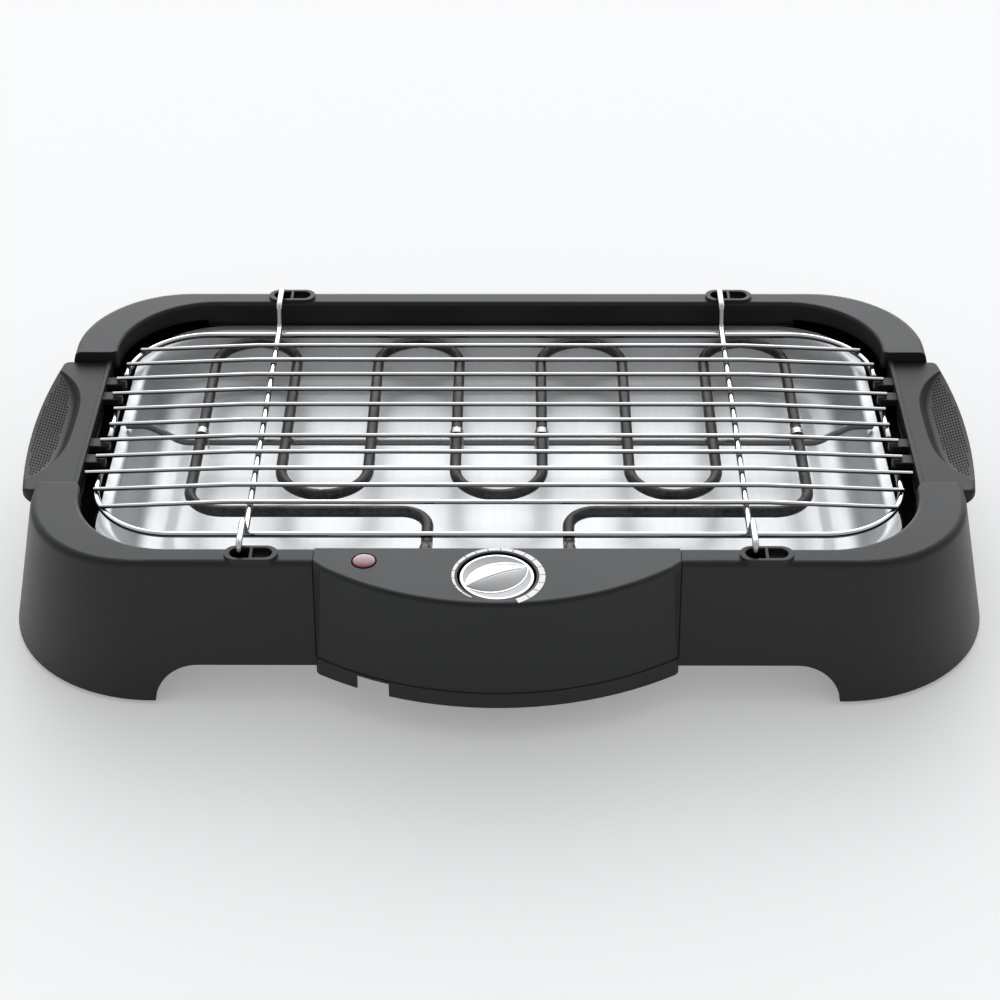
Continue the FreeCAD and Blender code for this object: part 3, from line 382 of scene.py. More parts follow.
@dataclass(frozen=True)
class BareMetal(Finish):
    """Bare, plated or oxidised metal with drawn lines and handled patches. Depths are in metres."""

    colour: Colour
    roughness: float
    dark: Colour | None = None
    metallic: float = 1.0
    rough_spread: float = 0.05
    line_scale: float = 500.0
    along: tuple[float, float, float] = (1.0, 0.02, 1.0)
    line_depth: float = 0.000004
    line_strength: float = 0.25
    line_stops: Point = (0.35, 0.6)
    tone_spread: float = 0.06
    patches: Point = (22.0, 1.6)
    patch_share: float = 0.0
    # Share of the colour kept where the surface faces down: painted shade.
    under_share: float = 1.0
    underside_shade_stops: Point = (0.3, 0.75)

    def fill(self, sheet: MaterialSheet) -> None:
        """Join lines and patches, and paint shade on what doesn't face up where a share is given.

        Args:
            sheet: The new material.
        """
        x, y, z = self.along
        streaks = sheet.groups.streaks
        lines = sheet.group(streaks, Across=self.line_scale, Along_X=x, Along_Y=y, Along_Z=z)["Lines"]
        patches = sheet.handled(self.patches)
        tone = lines
        if self.patch_share > 0.0:
            tone = sheet.sum("MULTIPLY_ADD", patches, self.patch_share, lines, clamp=True)
        dark = self.dark or shade(self.colour, 1.0 - self.tone_spread)
        colour = sheet.ramp(tone, zip(self.line_stops, (dark, self.colour)))
        # Painted shade: the colour darkens where the surface faces down, as shade under the wires.
        if self.under_share < 1.0:
            rise = sheet.part(sheet.add("ShaderNodeNewGeometry").outputs["Normal"], "Z")
            under = sheet.ramp(rise, zip(self.underside_shade_stops, (grey(self.under_share), grey(1.0))))
            colour = sheet.vectors("MULTIPLY", colour, under)
        spread = self.rough_spread
        rough = sheet.spread(patches, self.roughness - spread, self.roughness + spread)
        sheet.set(Base_Color=colour, Roughness=rough, Metallic=self.metallic)
        sheet.bump(lines, self.line_strength, self.line_depth)


@dataclass(frozen=True)
class TintedLens(Finish):
    """Translucent red lamp lens, with painted light: paler towards the rear, towards the light behind it."""

    name: str = "red_lens"
    deep: Colour = (0.22, 0.01, 0.032, 1.0)
    middle: Colour = (0.27, 0.09, 0.115, 1.0)
    pale: Colour = (0.29, 0.18, 0.2, 1.0)
    stops: tuple[float, ...] = (0.05, 0.32, 1.0)
    roughness: Point = (0.12, 0.3)
    specular: float = 0.5
    coat: float = 0.4
    coat_roughness: float = 0.1
    patches: Point = (160.0, 0.5)

    def fill(self, sheet: MaterialSheet) -> None:
        """Grade the red from deep at the front to pale at the rear, as painted light, under a clear coat.

        Args:
            sheet: The new material.
        """
        patches = sheet.handled(self.patches)
        # Painted light: the lens is paler towards the rear, where light comes through from behind.
        depth = sheet.part(sheet.add("ShaderNodeTexCoord").outputs["Generated"], "Y")
        colour = sheet.ramp(depth, zip(self.stops, (self.deep, self.middle, self.pale)))
        sheet.set(Base_Color=colour, Roughness=sheet.spread(patches, *self.roughness),
                  Specular_IOR_Level=self.specular, Coat_Weight=self.coat, Coat_Roughness=self.coat_roughness)


@dataclass(frozen=True)
class StudioFloor(Finish):
    """Pale paper under the grill, which shows near white and keeps the shadow."""

    name: str = "studio_floor"
    colour: Colour = grey(0.86)
    roughness: Point = (0.85, 0.95)
    specular: float = 0.1
    lift: float = 0.22
    patches: Point = (3.0, 0.5)

    def fill(self, sheet: MaterialSheet) -> None:
        """Lift the paper where it is seen, but not the light that it throws.

        Args:
            sheet: The new material.
        """
        patches = sheet.handled(self.patches)
        rays = sheet.add("ShaderNodeLightPath").outputs
        seen = sheet.sum("ADD", rays["Is Camera Ray"], rays["Is Glossy Ray"], clamp=True)
        seen = sheet.sum("ADD", seen, rays["Is Transmission Ray"], clamp=True)
        sheet.set(Base_Color=self.colour, Roughness=sheet.spread(patches, *self.roughness),
                  Specular_IOR_Level=self.specular, Emission_Color=grey(1.0),
                  Emission_Strength=sheet.sum("MULTIPLY", seen, self.lift))


FINISHES: tuple[Finish, ...] = (
    # The frame and handle plastics get painted shade low inside the ring.
    MouldedPlastic("frame_plastic", grey(0.012, 0.06), 0.42, specular=0.33, edge=0.0009, inside_shade_share=0.2),
    MouldedPlastic("handle_plastic", grey(0.012, 0.06), 0.46, specular=0.33, edge=0.0009, inside_shade_share=0.2),
    MouldedPlastic("control_plastic", grey(0.012, 0.08), 0.36, specular=0.33, edge=0.0006,
                   grain_strength=0.15),
    MouldedPlastic("dot_plastic", grey(0.003), 0.7, specular=0.05),
    MouldedPlastic("foot_rubber", grey(0.012), 0.75, specular=0.2),
    MouldedPlastic("white_print", grey(0.92), 0.35, specular=0.5, tone_spread=0.04, grain_strength=0.1),
    MouldedPlastic("inner_plastic", (0.55, 0.5, 0.42, 1.0), 0.55),
    MouldedPlastic("bushing_ceramic", (0.7, 0.67, 0.6, 1.0), 0.6, tone_spread=0.08),
    MouldedPlastic("lead_skin", (0.08, 0.03, 0.025, 1.0), 0.5),
    # The rack's chrome gets painted shade on its undersides.
    BareMetal("rack_chrome", grey(0.9, 0.01), 0.12, rough_spread=0.03, line_scale=900.0,
              along=(1.0, 1.0, 1.0), line_depth=0.000001, tone_spread=0.04, under_share=0.12),
    BareMetal("pan_steel", grey(0.7, 0.012), 0.46, rough_spread=0.03, line_scale=260.0, line_depth=0.000001,
              tone_spread=0.04),
    BareMetal("plate_steel", grey(0.4), 0.32, rough_spread=0.06),
    BareMetal("clip_steel", grey(0.6), 0.18),
    BareMetal("rod_steel", grey(0.25), 0.28, rough_spread=0.06, line_scale=300.0, along=(0.04, 1.0, 1.0),
              tone_spread=0.25),
    BareMetal("knob_satin", grey(0.21, 0.01), 0.28, rough_spread=0.04, line_scale=700.0),
    BareMetal("knob_silver", grey(0.31, 0.01), 0.2, rough_spread=0.03, line_scale=700.0),
    BareMetal("knob_bright", grey(0.6, 0.01), 0.16, rough_spread=0.03, line_scale=700.0),
    BareMetal("nut_brass", (0.66, 0.46, 0.2, 1.0), 0.3),
    BareMetal("oxidised_tube", (0.07, 0.068, 0.068, 1.0), 0.38, dark=(0.014, 0.014, 0.0145, 1.0),
              metallic=0.55, rough_spread=0.08, line_scale=420.0, along=(1.0, 0.16, 1.0), line_depth=0.00002,
              line_strength=0.4, line_stops=(0.45, 1.0), patches=(60.0, 2.0), patch_share=0.5),
    TintedLens(),
    StudioFloor(),
)


def build_finishes() -> dict[str, Material]:
    """Build the shared groups, and then every material by name."""
    groups = ShaderGroups()
    return {finish.name: finish.build(groups) for finish in FINISHES}


# Mesh building blocks


def steps(count: int, end: float = 1.0) -> list[float]:
    """Equal steps from nothing to an end value, both included."""
    return [end * step / count for step in range(count + 1)]


def circle(count: int) -> list[Point]:
    """Cosine and sine of equal steps round a full turn."""
    return [(math.cos(turn), math.sin(turn)) for turn in steps(count, FULL_TURN)[:-1]]


def mirrored(y: float, half: Sequence[Point]) -> list[Vector]:
    """Corners of a line that runs alike to both ends of the grill, from X and Z of its right half."""
    return [Vector((-x, y, z)) for x, z in reversed(half)] + [Vector((x, y, z)) for x, z in half]


def bent_line(points: Sequence[Vector], bends: Sequence[float], step: float = 6.0) -> list[Vector]:
    """Follow straight runs joined by round bends.

    Args:
        points: Corners of the line, ends included.
        bends: Bend radius at each inner corner.
        step: Degrees between two points of a bend.

    Returns:
        Points along the bent line.
    """
    line = [points[0].copy()]
    for index, radius in enumerate(bends, start=1):
        corner = points[index]
        back = (points[index - 1] - corner).normalized()
        on = (points[index + 1] - corner).normalized()
        turn = math.pi - back.angle(on)
        reach = radius * math.tan(turn / 2.0)
        centre = corner + (back + on).normalized() * (radius / math.cos(turn / 2.0))
        spoke = corner + back * reach - centre
        axis = back.cross(on).normalized()
        count = max(2, math.ceil(turn / math.radians(step)))
        line.extend(centre + Matrix.Rotation(-part, 3, axis) @ spoke for part in steps(count, turn))
    line.append(points[-1].copy())
    return line


def rounded_plan(half_length: float, half_width: float, corner: float, count: int = 16) -> list[Point]:
    """Plan of a rectangle with round corners, anticlockwise from the right side.

    Args:
        half_length: Half the size along X.
        half_width: Half the size along Y.
        corner: Corner radius.
        count: Steps round each corner.

    Returns:
        Points of the plan.
    """
    plan = []
    for quarter, (sx, sy) in enumerate(((1.0, 1.0), (-1.0, 1.0), (-1.0, -1.0), (1.0, -1.0))):
        for part in steps(count):
            angle = QUARTER_TURN * (quarter + part)
            x = sx * (half_length - corner) + corner * math.cos(angle)
            plan.append((x, sy * (half_width - corner) + corner * math.sin(angle)))
    return plan


def smooth(mesh: bpy.types.Mesh, material: Material, crease: float) -> None:
    """Give a mesh one finish and smooth shading.

    Args:
        mesh: The mesh.
        material: Its only finish.
        crease: Faces that meet at more than this many degrees keep a sharp edge.
    """
    mesh.materials.clear()
    mesh.materials.append(material)
    mesh.shade_smooth()
    mesh.set_sharp_from_angle(angle=math.radians(crease))


class SolidBox:
    """Box of one solid, in millimetres."""

    def __init__(self, name: str) -> None:
        """Read the box.

        Args:
            name: Name of the solid.
        """
        low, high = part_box(name)
        self.left, self.front, self.foot = (value / MM for value in low)
        self.right, self.rear, self.top = (value / MM for value in high)
        self.length, self.width = self.right - self.left, self.rear - self.front
        self.x, self.y = (self.left + self.right) / 2.0, (self.front + self.rear) / 2.0
        self.z = (self.foot + self.top) / 2.0


class MeshDraft:
    """Vertices and faces of one piece while it is drawn, in millimetres."""

    def __init__(self) -> None:
        """Start with nothing."""
        self.points: list[Vector] = []
        self.faces: list[tuple[int, ...]] = []

    def ring(self, points: Sequence[Sequence[float]]) -> list[int]:
        """Add points and return their numbers."""
        self.points.extend(Vector(point) for point in points)
        return list(range(len(self.points) - len(points), len(self.points)))

    def patch(self, points: Sequence[Sequence[float]]) -> None:
        """Add one flat face with these corners."""
        self.faces.append(tuple(self.ring(points)))

    def stack(self, rings: Sequence[Sequence[Sequence[float]]], closed: bool = False) -> MeshDraft:
        """Join a stack of rings, and cap its ends or close it on itself.

        Args:
            rings: Rings of points, each with the same count.
            closed: Join the last ring to the first instead of capping.

        Returns:
            The draft itself.
        """
        numbers = [self.ring(points) for points in rings]
        for one, two in zip(numbers, numbers[1:] + numbers[:1] if closed else numbers[1:]):
            self.faces.extend(zip(one, one[1:] + one[:1], two[1:] + two[:1], two))
        if not closed:
            self.faces += [tuple(reversed(numbers[0])), tuple(numbers[-1])]
        return self

    def tube(self, line: Sequence[Vector], radius: float, sides: int = 20,
             end_round: float = 0.35) -> MeshDraft:
        """Sweep a round section along a line, with slightly rounded ends.

        Args:
            line: Points along the axis.
            radius: Radius of the section.
            sides: Sides of the section.
            end_round: Edge rounding of the ends, as a share of the radius.

        Returns:
            The draft itself.
        """
        headings = [(b - a).normalized() for a, b in zip(line, line[1:])]
        across = headings[0].orthogonal().normalized()
        trim = radius * end_round
        ends = {0: ((0.0, radius - trim), (trim, radius)),
                len(line) - 1: ((-trim, radius), (0.0, radius - trim))}
        rings = []
        for index, point in enumerate(line):
            heading = (headings[max(0, index - 1)] + headings[min(index, len(headings) - 1)]).normalized()
            across = (across - heading * across.dot(heading)).normalized()
            up = heading.cross(across)
            spokes = [across * c + up * s for c, s in circle(sides)]
            for shift, size in ends.get(index, ((0.0, radius),)):
                rings.append([point + heading * shift + spoke * size for spoke in spokes])
        return self.stack(rings)

    def lathe(self, profile: Sequence[Point], centre: Vector, segments: int = 128,
              closed: bool = False) -> MeshDraft:
        """Turn a profile of radius and height about an upright axis; a closed one makes a ring."""
        return self.stack([[centre + Vector((radius * c, radius * s, height)) for c, s in circle(segments)]
                           for radius, height in profile], closed)

    def blob(self, centre: Vector, sizes: Vector, rings: int = 6, sides: int = 10) -> None:
        """Add a squashed ball with three half sizes."""
        self.stack([[centre + sizes * Vector((-math.sin(tilt) * c, math.sin(tilt) * s, math.cos(tilt)))
                     for c, s in circle(sides)] for tilt in steps(rings, math.pi)[1:-1]])

    def make(self, name: str, material: Material, crease: float = PIECE_CREASE) -> bpy.types.Object:
        """Turn the draft into an object, in metres.

        Args:
            name: Name of the piece.
            material: Its finish.
            crease: Faces that meet at more than this many degrees keep a sharp edge.

        Returns:
            The new object.
        """
        mesh = bpy.data.meshes.new(name)
        mesh.from_pydata([tuple(p * MM) for p in self.points], [], self.faces)
        work = bmesh.new()
        work.from_mesh(mesh)
        bmesh.ops.recalc_face_normals(work, faces=work.faces)
        work.to_mesh(mesh)
        work.free()
        smooth(mesh, material, crease)
        piece = bpy.data.objects.new(name, mesh)
        bpy.context.scene.collection.objects.link(piece)
        return piece


# Stage


@dataclass
class Stage:
    """Camera, floor and light of the studio, in metres; lens and sensor in millimetres."""

    paper: Material
    lens: float = 82.4
    sensor: float = 36.0
    pitch: float = math.radians(35.0)
    yaw: float = math.radians(0.533)
    roll: float = math.radians(-0.25)
    eye: Vector = field(default_factory=lambda: Vector((0.0106, -1.0858, 0.797)))
    floor_half: float = 20.0
    backdrop_level: float = 3.55
    backdrop_rise: float = math.radians(21.0)
    backdrop_fall: tuple[Point, ...] = ((90.0, 0.08), (70.0, 0.14), (52.0, 0.22), (38.0, 0.35), (28.0, 0.55),
                                        (18.0, 0.85), (10.0, 1.0))
    wall_fall: tuple[Point, ...] = ((0.0, 0.21), (20.0, 0.21), (38.0, 0.15), (60.0, 0.08))
    light_tint: float = 0.015

    def build(self) -> None:
        """Set up everything that isn't the grill."""
        self._camera()
        self._floor()
        self._world()
        bpy.context.scene.view_settings.view_transform = "Standard"

    def _camera(self) -> None:
        """Place the camera at the photograph's viewing angle."""
        data = bpy.data.cameras.new("camera")
        data.lens = self.lens
        data.sensor_width = self.sensor
        camera = bpy.data.objects.new("camera", data)
        level = math.cos(self.pitch)
        aim = Vector((-math.sin(self.yaw) * level, math.cos(self.yaw) * level, -math.sin(self.pitch)))
        camera.location = self.eye
        camera.rotation_mode = "QUATERNION"
        camera.rotation_quaternion = aim.to_track_quat("-Z", "Y") @ Quaternion((0.0, 0.0, 1.0), self.roll)
        bpy.context.scene.collection.objects.link(camera)
        bpy.context.scene.camera = camera

    def _floor(self) -> None:
        """Lay a pale floor that keeps the grill's shadow."""
        half = self.floor_half / MM
        draft = MeshDraft()
        draft.patch([(-half, -half, 0.0), (half, -half, 0.0), (half, half, 0.0), (-half, half, 0.0)])
        draft.make("studio_floor", self.paper)

    def _world(self) -> None:
        """Surround the grill with pale walls and a bright backdrop behind it, graded by degrees."""
        world = bpy.data.worlds.new("studio")
        bpy.context.scene.world = world
        world.use_nodes = True
        sheet = NodeSheet(world.node_tree)
        direction = sheet.add("ShaderNodeTexCoord").outputs["Generated"]
        middle = (0.0, math.cos(self.backdrop_rise), math.sin(self.backdrop_rise))
        facing = sheet.vectors("DOT_PRODUCT", direction, middle, result="Value")
        behind = sheet.ramp(facing, [(math.cos(math.radians(angle)), grey(level, self.light_tint))
                                     for angle, level in self.backdrop_fall])
        rise = sheet.part(direction, "Z")
        around = sheet.ramp(rise, [(math.sin(math.radians(angle)), grey(level, self.light_tint))
                                   for angle, level in self.wall_fall])
        background = world.node_tree.nodes["Background"]
        sheet.fill(background.inputs["Color"], sheet.vectors("MAXIMUM", behind, around))
        sheet.fill(background.inputs["Strength"], self.backdrop_level)


# Sub-assemblies


@dataclass
class Assembly:
    """What every sub-assembly works with. Lengths are in millimetres in all of them."""

    nodes: dict[str, bpy.types.Object]
    finishes: dict[str, Material]
    body: Body = Body.BASE

    def dress(self, finish: str, *names: str) -> None:
        """Give solids that stay their finish.

        Args:
            finish: Name of the finish.
            *names: Names of the solids.
        """
        for name in names:
            smooth(self.nodes[name].data, self.finishes[finish], SOLID_CREASE)
            LOG.info("%s dressed in %s", name, finish)

    def seat(self, draft: MeshDraft, name: str, finish: str, slot: str, stands_for: str | None = None,
             crease: float = PIECE_CREASE) -> None:
        """Make a piece, ride it on the body, and hide the solid that it stands for.

        Args:
            draft: The drawn piece, in place.
            name: Name of the piece.
            finish: Name of its finish.
            slot: Material slot of the record; not used.
            stands_for: Name of the solid that it replaces.
            crease: Faces that meet at more than this many degrees keep a sharp edge.
        """
        piece = draft.make(name, self.finishes[finish], crease)
        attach(piece, self.body.value)
        if stands_for:
            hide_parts(stands_for)
        LOG.info("%s rides on %s", name, self.body.value)


@dataclass
class FrameShells(Assembly):
    """The moulded ring, its feet and the handles' screws."""

    def build(self) -> None:
        """Dress the solids."""
        self.dress("frame_plastic", "front_frame", "rear_frame")
        self.dress("foot_rubber", "foot_front_left", "foot_front_right", "foot_rear_left", "foot_rear_right")
        self.dress("plate_steel", "handle_screws")


@dataclass
class Handles(Assembly):
    """The two grips, each with a field of small dots in its dished recess."""

    lip_height: float = 1.2
    dot_pitch: Point = (1.44, 2.85)
    dot_half: Point = (0.47, 0.85)
    dot_drop: float = 1.5
    dot_slope: float = 0.2
    dot_lift: float = 0.04
    dot_sides: int = 10
    look_from: float = 1.0

    def build(self) -> None:
        """Dress the grips and add their dots."""
        for side in Side:
            end = side.name.lower()
            self.dress("handle_plastic", f"{end}_handle")
            dots = self._dots(side, f"{end}_handle")
            self.seat(dots, f"{end}_grip_dots", "dot_plastic", "handle_plastic")

    def _dots(self, side: Side, name: str) -> MeshDraft:
        """Draw one handle's dots on the floor of its recess.

        Args:
            side: Which end of the grill.
            name: Name of the handle's solid.

        Returns:
            The draft with every dot.
        """
        solid, box = self.nodes[name], SolidBox(name)
        corners = [solid.matrix_world @ v.co for v in solid.data.vertices]
        skin = BVHTree.FromPolygons(corners, [tuple(face.vertices) for face in solid.data.polygons])
        outer = max(abs(box.left), abs(box.right))
        highest = box.top - self.lip_height - self.dot_drop
        (pitch_x, pitch_y), (half_x, half_y) = self.dot_pitch, self.dot_half
        look = box.top + self.look_from
        draft = MeshDraft()
        for column in range(int(box.length / pitch_x)):
            for row in range(int(box.width / pitch_y)):
                x = side.value * (outer - column * pitch_x)
                y = box.front + (row + 0.5) * pitch_y
                spot, normal = self._drop(skin, x, y, look)
                if spot is None or spot.z > highest or normal.x * side.value > -self.dot_slope:
                    continue
                edge = [self._drop(skin, x + half_x * c, y + half_y * s, look)
                        for c, s in circle(self.dot_sides)]
                draft.patch([place + rise * self.dot_lift for place, rise in edge])
        return draft

    @staticmethod
    def _drop(skin: BVHTree, x: float, y: float, top: float) -> tuple[Vector | None, Vector | None]:
        """Find the skin straight below a place, and its normal there, or nothing."""
        spot, normal = skin.ray_cast(Vector((x, y, top)) * MM, Vector((0.0, 0.0, -1.0)))[:2]
        return (None, None) if spot is None else (spot / MM, normal)


@dataclass
class DripPan(Assembly):
    """The pressed tray: hem, flange, wall, gutter and raised floor."""

    body: Body = Body.PAN
    corner: float = 53.0
    corner_keep: float = 0.72
    sheet: float = 0.8
    hem_share: float = 0.5
    under_share: float = 0.4
    flange: float = 6.5
    flange_fall: float = 0.5
    wall_foot: float = 17.0
    gutter_end: float = 31.0
    panel_start: float = 38.0
    panel_flat: float = 46.0
    panel_rise: float = 3.0
    bends: tuple[float, ...] = (4.0, 13.0, 8.0, 8.0)

    def build(self) -> None:
        """Build the tray in place of its solid."""
        box = SolidBox("drip_pan")
        section = self._section(box.top - box.foot - self.sheet)
        rings = [self._ring(box, inset, drop) for inset, drop in reversed(section)]
        rings.append(self._ring(box, 0.0, self.sheet * self.hem_share))
        rings += [self._ring(box, inset + self.sheet * self.under_share, drop + self.sheet)
                  for inset, drop in section]
        self.seat(MeshDraft().stack(rings), "drip_pan_pressing", "pan_steel", "pan_steel", "drip_pan")

    def _ring(self, box: SolidBox, inset: float, drop: float) -> list[Vector]:
        """Follow the tray's plan at an inset from its edge and a drop below it."""
        plan = rounded_plan(box.length / 2.0 - inset, box.width / 2.0 - inset,
                            self.corner - inset * self.corner_keep)
        return [Vector((x, y + box.y, box.top - drop)) for x, y in plan]

    def _section(self, depth: float) -> list[Point]:
        """Work out the tray's section from the edge inwards.

        Args:
            depth: Depth of the gutter below the edge.

        Returns:
            Inset and drop of each point.
        """
        floor = depth - self.panel_rise
        corners = ((0.0, 0.0), (self.flange, self.flange_fall), (self.wall_foot, depth),
                   (self.gutter_end, depth), (self.panel_start, floor), (self.panel_flat, floor))
        return [(p.x, p.z) for p in bent_line([Vector((x, 0.0, z)) for x, z in corners], self.bends)]


@dataclass
class Heater(Assembly):
    """The element, what carries it, and the control box's inner pieces."""

    body: Body = Body.HEATER
    tube_radius: float = 3.25
    tube_sides: int = 24
    legs: int = 8
    loops_from_rear: float = 164.0
    run_from_rear: float = 180.0
    rise_start_from_rear: float = 213.0
    rise_end_from_rear: float = 228.5
    tail_x: float = 38.5
    corner_bend: float = 20.0
    tail_bend: float = 15.0
    rise_bend: float = 11.0
    rod_radius: float = 2.0
    rod_level_inset: float = 32.0
    rod_rise_inset: float = 13.0
    rod_bend: float = 14.0

    def build(self) -> None:
        """Build the tube and rod, and dress the rest."""
        self.seat(self._tube(), "element_tube", "oxidised_tube", "element_metal", "heating_element")
        self.seat(self._rod(), "rod_bent", "rod_steel", "plate_steel", "support_rod")
        self.dress("clip_steel", "element_clips")
        self.dress("bushing_ceramic", "element_bushings")
        self.dress("plate_steel", "rear_plate", "thermostat_bracket", "cover_screws", "element_terminals",
                   "thermostat_shaft")
        self.dress("inner_plastic", "thermostat", "terminal_block")
        self.dress("nut_brass", "thermostat_nut")
        self.dress("lead_skin", "leads")
        self.dress("foot_rubber", "cord_gland")

    def _tube(self) -> MeshDraft:
        """Bend the element's tube: two tails, two front runs and the looped legs."""
        box, radius = SolidBox("heating_element"), self.tube_radius
        rear, last_leg = box.rear - radius, box.right - radius
        axis, tail_axis = box.foot + radius, box.top - radius
        front, run = rear - self.loops_from_rear, rear - self.run_from_rear
        pitch = 2.0 * last_leg / (self.legs - 1)
        tail = [(box.front, tail_axis), (rear - self.rise_end_from_rear, tail_axis),
                (rear - self.rise_start_from_rear, axis), (run, axis)]
        points = [Vector((-self.tail_x, y, z)) for y, z in tail]
        points.append(Vector((-last_leg, run, axis)))
        for leg in range(self.legs - 1):
            y = rear if leg % 2 == 0 else front
            points.extend(Vector((at * pitch - last_leg, y, axis)) for at in (leg, leg + 1))
        points.append(Vector((last_leg, run, axis)))
        points.extend(Vector((self.tail_x, y, z)) for y, z in reversed(tail))
        way_in = [self.rise_bend, self.rise_bend, self.tail_bend, self.corner_bend]
        bends = way_in + [pitch / 2.0] * (2 * self.legs - 2) + way_in[::-1]
        return MeshDraft().tube(bent_line(points, bends), radius, self.tube_sides)

    def _rod(self) -> MeshDraft:
        """Bend the rod under the tube, cranked up at both ends."""
        box, radius = SolidBox("support_rod"), self.rod_radius
        axis, raised, end = box.foot + radius, box.top - radius, box.right
        half = [(end - self.rod_level_inset, axis), (end - self.rod_rise_inset, raised), (end, raised)]
        return MeshDraft().tube(bent_line(mirrored(box.y, half), [self.rod_bend] * 4), radius)


@dataclass
class ControlBox(Assembly):
    """The bulged cover with its printed dial, in degrees, and its lamp."""

    body: Body = Body.HEATER
    dial_radius: float = 22.0
    dial_start: float = 235.5
    dial_end: float = -64.5
    dial_thin: float = 0.6
    dial_thick: float = 3.6
    dial_swell: float = 0.7
    dial_marks: int = 18
    dial_steps: int = 8
    dial_gap: float = 0.45
    dial_height: float = 0.12
    dial_sink: float = 0.05
    bezel_proud: float = 0.5
    bezel_height: float = 0.35
    bezel_steps: int = 8
    lens_rise: float = 0.9
    lens_sink: float = 1.0
    lens_pole: float = 0.02
    lens_steps: int = 12
    lamp_segments: int = 64

    def build(self) -> None:
        """Dress the box and add its dial and lamp."""
        self.dress("control_plastic", "control_cover", "control_base")
        self.dress("red_lens", "indicator_bulb")
        top = SolidBox("control_cover").top
        self.seat(self._dial(top), "dial_scale", "white_print", "control_plastic")
        self._lamp(top)

    def _dial(self, top: float) -> MeshDraft:
        """Draw the dial: blocks of a band that swells clockwise round the knob.

        Args:
            top: Height of the cover's top face.

        Returns:
            The draft with every block.
        """
        knob = SolidBox("knob")
        sweep = self.dial_start - self.dial_end
        gap = math.degrees(self.dial_gap / self.dial_radius)
        block = sweep / self.dial_marks
        low, high = top - self.dial_sink, top + self.dial_height
        draft = MeshDraft()
        for mark in range(self.dial_marks):
            rings = []
            for share in steps(self.dial_steps):
                along = mark * block + gap / 2.0 + (block - gap) * share
                turn = math.radians(self.dial_start - along)
                swell = (along / sweep) ** self.dial_swell
                inner = self.dial_radius
                outer = inner + self.dial_thin + (self.dial_thick - self.dial_thin) * swell
                section = ((inner, low), (outer, low), (outer, high), (inner, high))
                rings.append([Vector((knob.x + r * math.cos(turn), knob.y + r * math.sin(turn), z))
                              for r, z in section])
            draft.stack(rings)
        return draft

    def _lamp(self, top: float) -> None:
        """Turn the lamp's low dome and the dark ring round it.

        Args:
            top: Height of the cover's top face.
        """
        box = SolidBox("indicator_lens")
        radius = box.length / 2.0
        centre = Vector((box.x, box.y, top))
        tilts = steps(self.lens_steps, QUARTER_TURN)
        dome = [(max(self.lens_pole, radius * math.sin(t)), self.lens_rise * math.cos(t)) for t in tilts]
        dome += [(radius, -self.lens_sink), (self.lens_pole, -self.lens_sink)]
        lens = MeshDraft().lathe(dome, centre, self.lamp_segments)
        self.seat(lens, "lamp_dome", "red_lens", "lens_red", "indicator_lens")
        middle = radius + self.bezel_proud / 2.0
        tilts = steps(self.bezel_steps, math.pi)
        ring = [(middle - self.bezel_proud * math.cos(t), self.bezel_height * math.sin(t)) for t in tilts]
        bezel = MeshDraft().lathe(ring, centre, self.lamp_segments, closed=True)
        self.seat(bezel, "lamp_bezel", "dot_plastic", "control_plastic")


